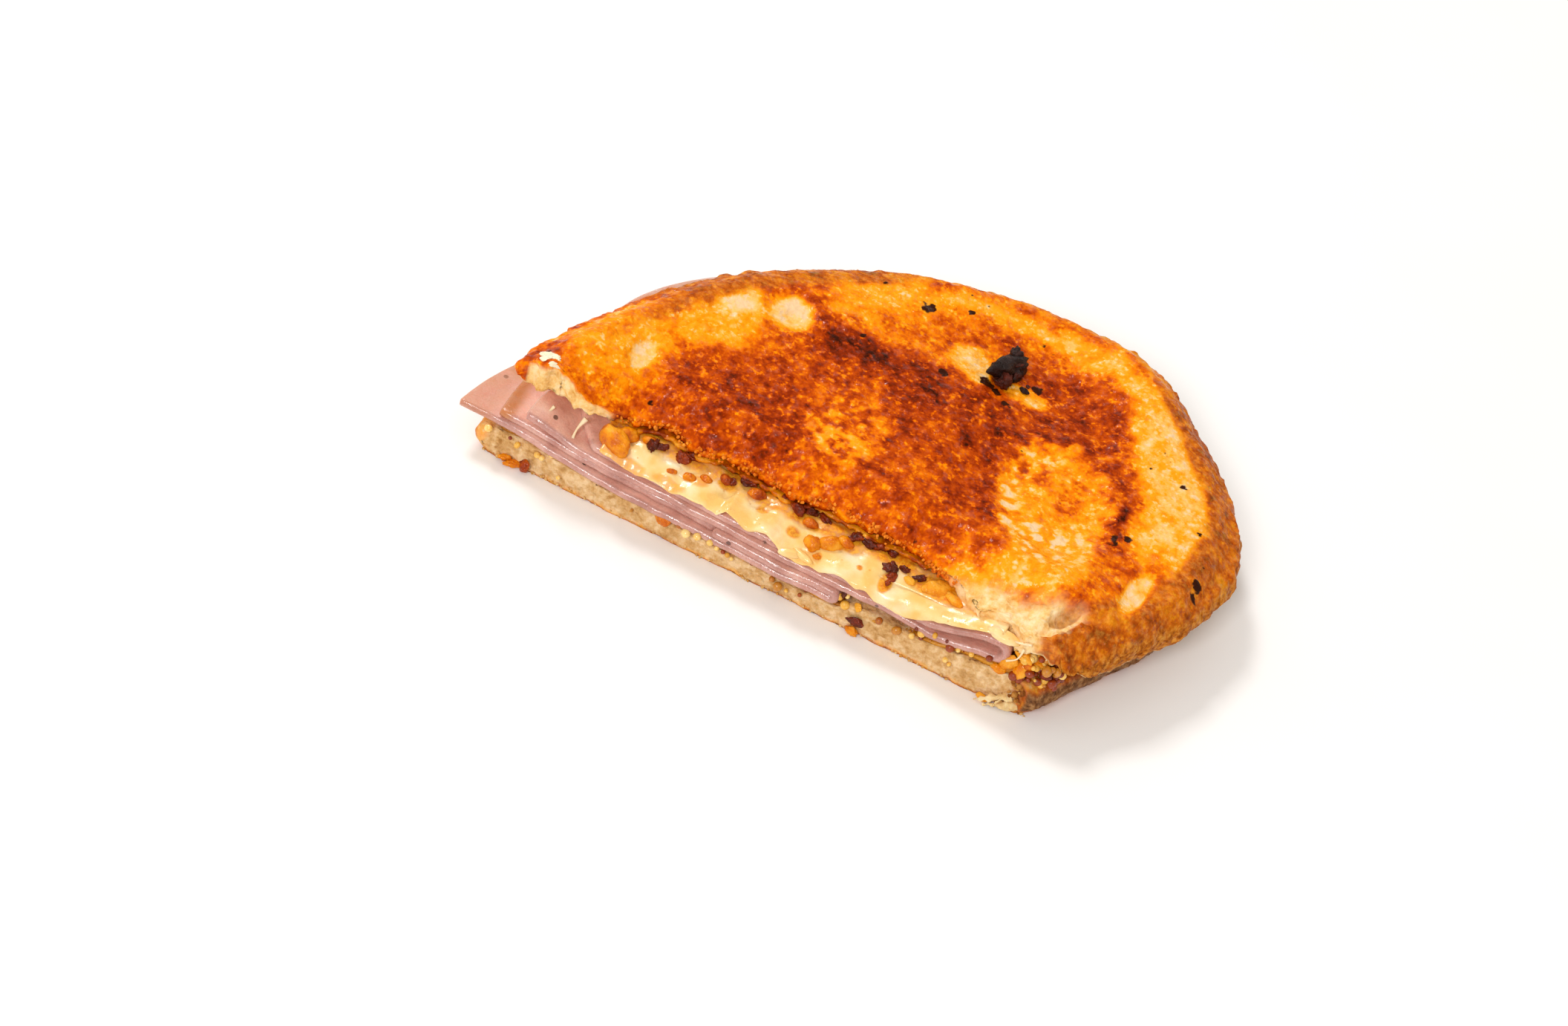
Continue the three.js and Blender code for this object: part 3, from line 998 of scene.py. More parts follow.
@dataclass(frozen=True)
class ToastedBread:
    """Bread fried in butter on one face, with pale crumb where it is cut and a baked crust.

    It reads "browning" (0 pale to 1 burnt), "crumb" (1 on a cut or torn face), "crust"
    (1 on the loaf's baked side) and "char" (1 on burnt specks). The crumb's and the crust's
    colours run from dark to light.
    """

    name: str
    crumb: tuple[str, str, str]
    crust: tuple[str, str, str]

    def material(self) -> Material:
        """Builds the material.

        Returns:
            The material.
        """
        r = Recipe(self.name)
        coarse = r.noise(3.7, 1, detail=3, roughness=0.6)
        fine = r.noise(1.0, 2, detail=3, roughness=0.55)
        browning, cut, baked = r.value("browning"), r.value("crumb"), r.value("crust")

        speckled = r.math("SUBTRACT", r.blend((coarse, 0.77), (fine, 0.352)), 0.561)
        pale = r.spread(r.noise(1.5, 7, detail=2, roughness=0.6), 0.53, 0.72, 0.0, 0.24)
        dots = r.spread(r.cells(1.7, 9), 0.10, 0.38, 0.22, 0.0)
        paler = r.blend((pale, 1.0), (dots, r.spread(r.noise(6, 10), 0.46, 0.62)))
        varied = r.math("SUBTRACT", speckled, paler)
        browned = r.blend((browning, 1.0), (varied, r.spread(browning, 0.0, 0.5, 0.7, 1.0)))
        colour = r.ramp(browned, tuple(zip(FRIED_AT, FRIED_SHADES)))

        open_crumb = r.noise(1.5, 4, detail=4, roughness=0.65)
        crumb_tone = r.blend((open_crumb, 0.7), (r.noise(4.5, 11, detail=2), 0.5), (fine, 0.25))
        crumb = r.ramp(crumb_tone, tuple(zip((0.50, 0.68, 0.86), self.crumb)))
        colour = r.mixed(cut, colour, crumb)

        crust_tone = r.blend((r.noise(1.4, 5, detail=4, roughness=0.65), 1.0), (fine, 0.3))
        crust = r.ramp(crust_tone, tuple(zip((0.45, 0.63, 0.82), self.crust)))
        colour = r.mixed(baked, colour, crust)

        burnt = r.spread(r.blend((r.value("char"), 1.0), (fine, 0.9)), 0.85, 1.25)
        colour = r.mixed(burnt, colour, "#361406")

        r.relief((r.cells(1.1, 3), 0.2), (coarse, 0.45), (fine, 0.25))
        r.soft(0.08, 1.2, 0.5, 0.2)
        oily = r.spread(r.noise(2.2, 6, detail=3), 0.40, 0.60, 0.24, 0.55)
        dry = r.math("MAXIMUM", cut, r.math("MULTIPLY", baked, 0.6))
        film = r.spread(r.noise(1.6, 8, detail=2), 0.55, 0.64, 0.0, 0.5)
        return r.finish(
            colour,
            roughness=r.blend((oily, 1.0), (dry, 0.35)),
            specular_ior_level=0.04,
            coat_weight=r.math("MULTIPLY", r.math("SUBTRACT", 1.0, dry), film),
            coat_roughness=0.07,
        )


@dataclass(frozen=True)
class BolognaMeat:
    """Fine pink sausage meat, wet with fat, whose cut edge is painted a darker mauve as shade under the
    bread.

    It reads "cut" (1 on the cut face) and "browned" (1 where its edge has fried).
    """

    name: str = "bologna_meat"

    def material(self) -> Material:
        """Builds the material.

        Returns:
            The material.
        """
        r = Recipe(self.name)
        fine = r.noise(0.35, 1, detail=3, roughness=0.6)
        cloudy = r.noise(5.0, 2, detail=3)
        tone = r.blend((cloudy, 0.7), (fine, 0.3))
        face = r.ramp(tone, ((0.36, "#d89a88"), (0.5, "#e8b2a0"), (0.64, "#f3c5b2")))
        # painted shade: the cut edges get a darker copy of the face's colours, for the shade under the bread
        cut = r.ramp(tone, ((0.36, "#b17a6d"), (0.5, "#c48d80"), (0.64, "#d9a798")))
        colour = r.mixed(r.value("cut"), face, cut)
        colour = r.mixed(r.spread(r.cells(1.1, 3), 0.06, 0.14, 0.35, 0.0), colour, "#f0cdbd")
        # painted shade: sparse dark dots stand for the shade in the meat's small pores
        colour = r.mixed(r.spread(r.cells(5.5, 4), 0.08, 0.11, 0.8, 0.0), colour, "#4a2a25")
        browned = r.spread(r.blend((r.value("browned"), 1.0), (cloudy, 0.7)), 0.55, 1.35)
        colour = r.mixed(browned, colour, "#bf7640")
        r.relief((fine, 0.05), (cloudy, 0.4))
        r.soft(0.25, 1.6, 0.7, 0.5)
        rough = r.spread(r.noise(2.0, 5), 0.4, 0.62, 0.14, 0.34)
        wet = r.spread(r.noise(3.0, 6), 0.40, 0.58, 0.15, 1.0)
        return r.finish(colour, roughness=rough, coat_weight=wet, coat_roughness=0.08)


@dataclass(frozen=True)
class MeltedCheese:
    """Melted pale cheese, glossy, stained with orange butter and mustard.

    It reads "stain" (1 where it is stained, and in the strip under the upper slice,
    where the orange is painted shade as well as stain).
    """

    name: str = "melted_cheese"

    def material(self) -> Material:
        """Builds the material.

        Returns:
            The material.
        """
        r = Recipe(self.name)
        cloudy = r.noise(5.0, 1)
        fine = r.noise(0.8, 2, detail=3, roughness=0.55)
        colour = r.ramp(cloudy, ((0.34, "#f5be68"), (0.5, "#fbd18e"), (0.66, "#fee0b0")))
        stringy = r.spread(r.value("stain"), -1.0, 0.0, 0.5, 0.0)
        colour = r.mixed(stringy, colour, "#fbe6cc")
        # butter stains and the painted shade under the upper slice both take the oil colours here
        oil = r.spread(r.blend((r.value("stain"), 1.0), (fine, 0.55)), 0.5, 1.15)
        colour = r.mixed(oil, colour, r.ramp(fine, ((0.35, "#dc7006"), (0.6, "#f9a626"))))
        specks = r.spread(r.cells(2.3, 3), 0.05, 0.12, 0.55, 0.0)
        colour = r.mixed(specks, colour, "#d98a24")
        r.relief((fine, 0.06), (cloudy, 0.4))
        r.soft(0.25, 1.4, 1.0, 0.6)
        return r.finish(colour, roughness=r.spread(fine, 0.4, 0.62, 0.12, 0.28))


@dataclass(frozen=True)
class Glazed:
    """A glossy morsel whose colour varies from piece to piece.

    It reads "tint" (0 for the first colour to 1 for the last). Light sinks in by about sink
    millimetres, and its relief is in millimetres too.
    """

    name: str
    colours: tuple[str, ...]
    rough: float = 0.25
    sink: float = 1.0
    relief: float = 0.1
    shine: float = 0.3
    wet: float = 0.0

    def material(self) -> Material:
        """Builds the material.

        Returns:
            The material.
        """
        r = Recipe(self.name)
        fine = r.noise(0.5, 1, detail=3, roughness=0.6)
        tone = r.math("SUBTRACT", r.blend((r.value("tint"), 1.0), (fine, 0.5)), 0.25)
        positions = np.linspace(0.0, 1.0, len(self.colours)).tolist()
        colour = r.ramp(tone, tuple(zip(positions, self.colours)))
        r.relief((fine, self.relief))
        if self.sink:
            r.soft(0.15, 1.4 * self.sink, 0.8 * self.sink, 0.3 * self.sink)
        rough = r.spread(fine, 0.35, 0.65, self.rough * 0.7, self.rough * 1.5)
        return r.finish(
            colour, roughness=rough, specular_ior_level=self.shine, coat_weight=self.wet, coat_roughness=0.06
        )


# ---- pieces


@dataclass(frozen=True)
class Patch:
    """An oval zone, such as one that is browner, paler or deeper than the rest.

    Its level is the browning that it tends to, or how deep or stained it is. It is turned by
    degrees, anticlockwise from above. Its edge is how soft it is, as a share of its size, and
    its strength how far it reaches its level.
    """

    x: float
    y: float
    half_x: float
    half_y: float
    level: float
    turn: float = 0.0
    edge: float = 0.45
    strength: float = 1.0

    def radius(self, x: Array, y: Array) -> Array:
        """How far out a place is.

        Args:
            x: along the cut.
            y: behind the cut.

        Returns:
            0 at its middle and 1 on its edge.
        """
        angle = np.radians(self.turn)
        dx, dy = x - self.x, y - self.y
        along = dx * np.cos(angle) + dy * np.sin(angle)
        across = dy * np.cos(angle) - dx * np.sin(angle)
        return np.hypot(along / self.half_x, across / self.half_y)

    def share(self, x: Array, y: Array, uneven: Array) -> Array:
        """How much it counts at each place."""
        radius = self.radius(x, y) + uneven * min(1.0, self.half_x / 11)
        return self.strength * (1 - smooth(1 - self.edge, 1 + self.edge, radius))


@dataclass
class Piece:
    """What every part of the sandwich shares: the heights of the layers and its place."""

    stack: Stack
    place: CutFrame

    def added(self, surface: Surface, name: str, material: Material, slot: str, *nodes: str) -> Object:
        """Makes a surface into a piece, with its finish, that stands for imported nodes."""
        return self.claimed(surface.to_object(name, self.place, material), slot, *nodes)

    @staticmethod
    def claimed(made: Object, slot: str, *nodes: str) -> Object:
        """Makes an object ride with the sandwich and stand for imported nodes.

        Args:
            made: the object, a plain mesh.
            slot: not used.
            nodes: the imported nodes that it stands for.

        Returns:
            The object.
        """
        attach(made, BODY)
        if nodes:
            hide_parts(*nodes)
        LOG.info("%s: %d faces", made.name, len(made.data.polygons))
        return made


@dataclass
class Bread(Piece):
    """What both slices share: a fine mesh, a round crust and an upright cut face."""

    spacing: float = 0.6
    bulge: float = 1.3
    wall_rows: int = 9

    def stand(self, x: Array, y: Array, down: Array) -> Array:
        """How far the side stands out, at a share of the way down."""
        return smooth(-2.5, -0.6, self.crust(x, y)) * self.bulge * np.sin(np.pi * down)

    def slab(self) -> Surface:
        """The slice's plain body."""
        shape = Slab(self.outside, self.top, self.bottom, self.spacing, self.wall_rows, self.stand)
        return shape.build()


@dataclass
class UpperBread(Bread):
    """The upper slice, fried on top, with a ragged front edge and a torn right corner."""

    base_browning: float = 0.64
    crust_specks: int = 34
    blister: Patch = Patch(40.8, 35.8, 13.2, 19.8, 0, turn=13)
    oval_hollow: Patch = Patch(63.5, 23.5, 2.4, 7.2, 0.9, turn=-6, edge=0.4)
    corner_hollow: Patch = Patch(54.0, 9.2, 1.1, 3.4, 2.2, turn=-30, edge=0.5)
    patches: tuple[Patch, ...] = (
        Patch(-4, 34, 38, 26, 0.7), Patch(-18, 20, 17, 11, 0.76), Patch(10, 51, 27, 8, 0.78, turn=-4),
        Patch(23, 24, 9, 13, 0.72), Patch(-9, 52, 8, 5, 0.82), Patch(-30, 42, 9, 8, 0.6),
        Patch(-5, 66, 13, 8, 0.55), Patch(38, 63, 18, 12, 0.74, turn=-42),
        Patch(-2, 24, 6, 15, 0.57, strength=0.6), Patch(-52, 14, 10, 9, 0.48), Patch(-50, 26, 9, 12, 0.36),
        Patch(-14, 71, 11, 10, 0.37, turn=30), Patch(41, 37, 15, 22.5, 0.72, turn=13),
        Patch(40.8, 35.6, 12.2, 18.6, 0.42, turn=13, edge=0.2), Patch(34.5, 42.5, 3.2, 3.4, 0.66),
        Patch(43.5, 40, 2.6, 6, 0.58), Patch(43, 52.5, 3, 3, 0.6), Patch(49, 23, 6, 12, 0.3),
        Patch(41, 22, 5, 8, 0.34), Patch(-36, 46, 6, 12, 0.26, turn=20),
        Patch(-36, 48, 3.5, 6, 0.08, turn=20), Patch(-38, 36, 5, 6, 0.32),
        Patch(62, 22, 8, 20, 0.58, turn=-14), Patch(56, 28, 4, 7, 0.62),
        Patch(63.5, 23.5, 2.2, 7, 0.12, turn=-6, edge=0.25), Patch(-25, 51, 4.4, 4.6, 0.02, edge=0.4),
        Patch(-24.4, 50.4, 1.8, 1.6, 0.12), Patch(-44.5, 20.5, 2.2, 4.2, 0.1, edge=0.25),
        Patch(11, 65.5, 4.6, 4.8, 0.2, edge=0.35), Patch(14, 62.5, 2.4, 3.4, 0.16, edge=0.3),
        Patch(26, 64, 3.4, 2.6, 0.26, edge=0.4), Patch(22.4, 63.5, 2.2, 2.4, 0.34, edge=0.4),
        Patch(36, 3, 9, 7, 0.25), Patch(42, 13, 9, 4.5, 0.36), Patch(-62, 6, 4, 8, 0.74),
    )
    hollows: tuple[Patch, ...] = (
        Patch(-25, 51, 5, 5.4, 0.9, edge=0.35), oval_hollow, Patch(-44.5, 20.5, 2.4, 4.4, 1.1, edge=0.4),
        Patch(-38.5, 42, 1.4, 1.6, 0.7, edge=0.5), Patch(-24.4, 50.4, 1.8, 1.8, 0.6), corner_hollow,
    )
    specks: tuple[Triple, ...] = (
        (-2.5, 74, 1.8), (-12.5, 74, 1), (26, 68, 1.4), (54.5, 34, 1.7), (57, 37, 1.2), (21, 11, 0.9),
        (16.4, 61, 1.7), (19, 59.6, 1.3), (6, 79, 0.7), (-10, 55, 0.8), (8, 57, 1), (73.5, 35, 1.1),
        (74, 32, 1), (63, 31, 0.7), (54.5, 59, 0.8), (22, 58, 1.3), (-4, 45, 0.6), (30, 47, 0.7),
        (-38, 12, 0.8), (-39, 14, 0.7),
    )
    torn_x: Row = (29, 34, 43, 47, 50, 56, 59, 61)
    torn_depth: Row = (4, 7.8, 10.4, 10.2, 10.8, 13.2, 8.5, 2)

    def crust(self, x: Array, y: Array) -> Array:
        """How far a place is outside the crust, which is cut away at the near right."""
        near = 4.6 * bell(y, 12, 17) * smooth(46, 58, x) - 1.8 * bell(y, 52, 13) * smooth(56, 70, x)
        return self.stack.loaf.outside(x, y) + near - 2.4 * bell(y, 2, 12) * smooth(-46, -56, x)

    def outside(self, x: Array, y: Array) -> Array:
        """How far a place is outside the slice's ragged outline.

        Args:
            x: along the cut.
            y: behind the cut.

        Returns:
            Millimetres, negative inside.
        """
        teeth, lobes = Noise(2.4, 11, 3).over(x, y), Noise(9, 12, 2).over(x, y)
        crust = self.crust(x, y) + 0.6 * teeth + 0.7 * lobes
        front = self.stack.fried_front(x) + 1.5 * teeth + 0.5 * lobes - y
        front -= 1.2 * smooth(34, 40, x) * (1 - smooth(48, 54, x))
        return np.maximum(crust, front)

    def torn(self, x: Array, y: Array, soft: float = 0.8) -> Array:
        """Where the fried skin is torn away, at the right end of the cut.

        Args:
            x: along the cut.
            y: behind the cut.
            soft: how gently the tear ends at its far edge.

        Returns:
            1 where it is torn away, 0 where it is whole.
        """
        uneven = 2.52 * Noise(3, 14, 3).over(x, y)
        behind = y - np.interp(x, self.torn_x, self.torn_depth)
        near = 1 - smooth(-soft, 0.8, behind + uneven)
        left = 1 - smooth(-0.8, 0.8, x - 52.5 - 0.7 * (y - 2) + uneven)
        return near * left * smooth(28, 31, x)

    def top(self, x: Array, y: Array) -> Array:
        """The fried face, with its blister, its hollows and a rounder crust.

        Args:
            x: along the cut.
            y: behind the cut.

        Returns:
            Millimetres above the board.
        """
        height = self.stack.upper_top(x, y) - 0.8 * self.stack.at_tip(x, y)
        height -= 1.6 * smooth(-5.5, 0.5, self.crust(x, y)) ** 2
        blister = self.blister.radius(x, y)
        height += 0.5 * bell(blister, 1, 0.16) - 0.3 * (1 - smooth(0.6, 1, blister))
        uneven = 0.3 * Noise(2, 13, 2).over(x, y)
        for hollow in self.hollows:
            height -= hollow.level * hollow.share(x, y, uneven)
        whole = smooth(-46, -38, x) * (1 - smooth(26, 34, x))
        height -= 0.9 * whole * (1 - smooth(0, 2.6, y - self.stack.fried_front(x)))
        return height - self.torn(x, y) * (1.3 - 1.0 * Noise(3.2, 15, 3).over(x, y))

    def bottom(self, x: Array, y: Array) -> Array:
        """The underside, rounded up a little at the crust.

        Args:
            x: along the cut.
            y: behind the cut.

        Returns:
            Millimetres above the board.
        """
        crust = self.crust(x, y)
        free = self.stack.upper_bottom(x, y) + 1.2 * smooth(-4, 0.5, crust) ** 2
        corner = 3.0 * smooth(29, 36, x) * (1 - smooth(6, 15, y))
        corner += 3.4 * bell(x, 47.5, 3.5) * (1 - smooth(4, 12, y))
        pressed = self.stack.lower_top(x, y) + 0.9
        near = smooth(-9, -2, crust) * smooth(-40, -20, x) * np.maximum(smooth(2, 9, y), x < 0)
        return lerp(free - corner, np.minimum(free, pressed), near)

    def browned(self, flat: Array, uneven: Array, back: Array, rim: Array) -> Array:
        """How browned the fried face is.

        Args:
            flat: the places, with their heights squeezed.
            uneven: soft random values there.
            back: 1 along the far edge.
            rim: 1 next to the crust.

        Returns:
            One number a place, from 0 pale to 1 burnt.
        """
        x, y, _ = flat.T
        browning = self.base_browning + 0.10 * Noise(9, 22, 3).at(flat)
        for patch in self.patches:
            browning = lerp(browning, patch.level, patch.share(x, y, uneven))
        crust = self.crust(x, y) + 3.0 * uneven
        browning = lerp(browning, 0.25, 0.95 * bell(crust, -11.5, 3.4) * back)
        right = smooth(42, 52, x) * smooth(30, 40, y) * smooth(-23, -17, crust)
        browning = lerp(browning, 0.19 + 0.12 * Noise(4, 27, 2).at(flat), 0.95 * right)
        browning = lerp(browning, 0.62 - 0.2 * back + 0.34 * Noise(2.2, 23, 3).at(flat), rim)
        radius = self.blister.radius(x, y) + 0.4 * uneven
        ring = bell(radius, 1.08, 0.12) * smooth(-22, 2, (y - 37) - 0.4 * (x - 41))
        browning = lerp(browning, 0.84, ring * (0.7 + 1.2 * Noise(6, 29, 2).at(flat)))
        left = bell(radius, 1.04, 0.07) * (x < 43) * smooth(-16, 4, y - 28)
        browning = lerp(browning, 0.76, 0.6 * left)
        browning += 0.10 * Noise(2, 24, 3).at(flat) + 0.03 * smooth(0.4, 0.6, browning)
        flecked = 0.8 * bell(x, -2, 9) * bell(y, 25, 14) + 0.7 * bell(x, 46, 8) * bell(y, 26, 9)
        flecked += bell(radius, 0.72, 0.22) * (1 - smooth(38, 46, x + 0.25 * (y - 37)))
        return browning - 0.4 * flecked * smooth(0.02, 0.26, Noise(1.6, 35, 2).at(flat))

    def charred(self, flat: Array, uneven: Array) -> Array:
        """The burnt specks, the placed ones and more along the crust.

        Args:
            flat: the places, with their heights squeezed.
            uneven: soft random values there.

        Returns:
            One number a place, 1 on a speck.
        """
        x, y, _ = flat.T
        uneven = 1.2 * uneven + 0.8 * Noise(0.9, 26, 2).at(flat)
        rng = np.random.default_rng(28)
        turns = rng.uniform(-0.2, 2.6, self.crust_specks)
        sizes = rng.uniform(0.25, 0.8, self.crust_specks)
        along_crust = zip(2 + 74 * np.cos(turns), 22 + 62 * np.sin(turns), sizes)
        char = np.zeros(len(x))
        for at_x, at_y, radius in (*self.specks, *along_crust):
            away = np.hypot(x - at_x, y - at_y) / radius
            char = np.maximum(char, 1 - smooth(0.2, 1.3, away + uneven))
        return char

    def paint(self, made: Surface) -> None:
        """Sets how browned, open, crusty and charred each place is, with painted shade in the corner hollow.

        Args:
            made: the slice's surface.
        """
        x, y, _ = made.points.T
        flat = made.points * [1, 1, 0.3]
        uneven = 0.40 * Noise(8, 21, 2).at(flat) + 0.45 * Noise(2.8, 25, 3).at(flat)
        back = smooth(-14, -2, x) * (1 - smooth(44, 54, x)) * smooth(50, 60, y)
        rim = smooth(-10, -7, self.crust(x, y) + 3.0 * uneven - 3.0 * back) * smooth(-58, -40, x)
        rim *= 1 - self.oval_hollow.share(x, y, 0.4 * uneven)

        down, wall = made.values["down"], made.values["wall"] > 0.4
        side = wall & (self.crust(x, y) > -2.2)
        cut = wall & ~side
        fried_front = smooth(-46, -40, x + 5 * uneven) * (1 - smooth(28, 33, x + 5 * uneven))
        toasted = (1 - smooth(0.05, 0.22, down + 0.3 * uneven)) * (1 - smooth(27, 31, x))
        bare = (1 - fried_front) * (1 - 0.9 * smooth(50.5, 53, x + 4 * uneven))
        # the corner hollow shows crumb, and crust colour at 0.6 over it is painted shade in the hollow
        hollow_crumb_and_shade = self.corner_hollow.share(x, y, 0.3 * uneven)
        crumb = np.maximum(np.where(cut, np.minimum(1 - toasted, bare), self.torn(x, y, 3.4)), hollow_crumb_and_shade)
        crumb = np.where(made.values["under"] > 0, 1 - fried_front, crumb)
        browning = self.browned(flat, uneven, back, rim)
        browning = np.where(cut, 0.55 + 0.25 * down + 0.3 * uneven, browning)
        browning = np.where(side & (x < -44), 0.64 + 0.5 * uneven, browning)
        crust = np.where(side, lerp(0.5, 0.9, smooth(0, 0.3, down)), (0.5 - 0.25 * back) * rim)
        crust *= (1 - crumb) * smooth(-58, -46, x)
        made.painted(
            browning=browning,
            crumb=crumb,
            # painted shade: crust colour in the corner hollow
            crust=np.maximum(crust, 0.6 * hollow_crumb_and_shade),
            char=self.charred(flat, uneven) * ~wall,
        )

    def build(self) -> Object:
        """Makes and dresses the slice.

        Returns:
            The piece.
        """
        made = self.slab()
        self.paint(made)
        wall, crumb = made.values["wall"], made.values["crumb"]
        pores = 1 - smooth(0.15, 0.5, Cells(2.2, 31).distance(made.points))
        rim = smooth(-6, -2, self.crust(*made.points[:, :2].T)) * (1 - wall)
        made.push(
            (0.30 + 0.25 * rim + 0.3 * wall) * Noise(2.2, 32, 3).at(made.points)
            + 0.25 * (rim + wall) * Noise(1.2, 34, 2).at(made.points)
            + 0.45 * crumb * Noise(2.6, 33, 3).at(made.points)
            - (0.15 + 0.5 * crumb) * pores
        )
        finish = ToastedBread(
            "fried_bread",
            crumb=("#d8933c", "#f2c47c", "#fbdcaa"),
            crust=("#66300a", "#b26416", "#de983e"),
        )
        return self.added(made, "bread_top", finish.material(), "fried_bread", "bread_upper")


@dataclass
class LowerBread(Bread):
    """The lower slice, whose porous crumb shows along the whole cut."""

    bulge: float = 1.2

    def crust(self, x: Array, y: Array) -> Array:
        """How far a place is outside the crust."""
        return self.stack.lower_crust(x, y) + 2.6 * bell(y, 14, 12) * smooth(44, 56, x)

    def outside(self, x: Array, y: Array) -> Array:
        """How far a place is outside the slice's outline."""
        lobes = Noise(8, 42, 3).over(x, y)
        return np.maximum(self.crust(x, y) + 0.6 * lobes, 0.25 * lobes - y)

    def top(self, x: Array, y: Array) -> Array:
        """The top, which reaches up to the filling and swells past the lowest slice's fold."""
        swell = 2.4 * smooth(12.5, 15, x) * (1 - smooth(0, 20, x - 14)) * (1 - smooth(3, 9, y))
        return self.stack.lower_top(x, y) + 0.25 + swell - 1.0 * smooth(-3.5, 0.5, self.crust(x, y)) ** 2

    def bottom(self, x: Array, y: Array) -> Array:
        """The fried underside, rounded up at the crust."""
        return 2.0 * smooth(-4, 0.5, self.crust(x, y)) ** 2

    def paint(self, made: Surface) -> None:
        """Sets how browned each place is.

        Args:
            made: the slice's surface.
        """
        x, y, z = made.points.T
        uneven = Noise(3, 43, 3).at(made.points)
        crust, under = self.crust(x, y), made.values["under"] > 0
        side = (made.values["wall"] > 0.4) & (crust > -1.2)
        toasted = 0.55 * (1 - smooth(0.1, 0.9, z + 1.2 * uneven))
        end = smooth(-4.5, -1.5, crust + 1.5 * uneven) * smooth(40, 46, x)
        left_end = 0.6 * smooth(-3, -0.8, crust + uneven) * (x < 0)
        baked = side * smooth(0, 0.15, made.values["down"]) * smooth(-52, -44, x)
        made.painted(
            browning=np.where(under, 0.54 + 0.2 * uneven, 0.40 + 0.16 * end + 0.5 * uneven),
            crumb=np.where(under, 0, 1 - np.max([toasted, end, left_end], axis=0)),
            crust=np.where(under, 0.5, np.maximum(baked, 0.5 * end)),
            char=0.0,
        )

    def build(self) -> Object:
        """Makes and dresses the slice.

        Returns:
            The piece.
        """
        made = self.slab()
        self.paint(made)
        crumb = made.values["crumb"] * (made.values["under"] < 1)
        pores = 1 - smooth(0.15, 0.5, Cells(1.7, 51).distance(made.points))
        small = 1 - smooth(0.2, 0.5, Cells(0.9, 52).distance(made.points))
        made.push(
            (0.12 + 0.5 * (1 - crumb) * made.values["wall"]) * Noise(2.2, 53, 3).at(made.points)
            + 0.30 * crumb * Noise(1.6, 54, 3).at(made.points)
            - crumb * (0.45 * pores + 0.2 * small)
        )
        finish = ToastedBread(
            "board_side_bread",
            crumb=("#a8743a", "#d4a66c", "#eecb9c"),
            crust=("#4c2a14", "#7e5230", "#aa7c50"),
        )
        return self.added(made, "bread_base", finish.material(), "lower_bread", "bread_lower")


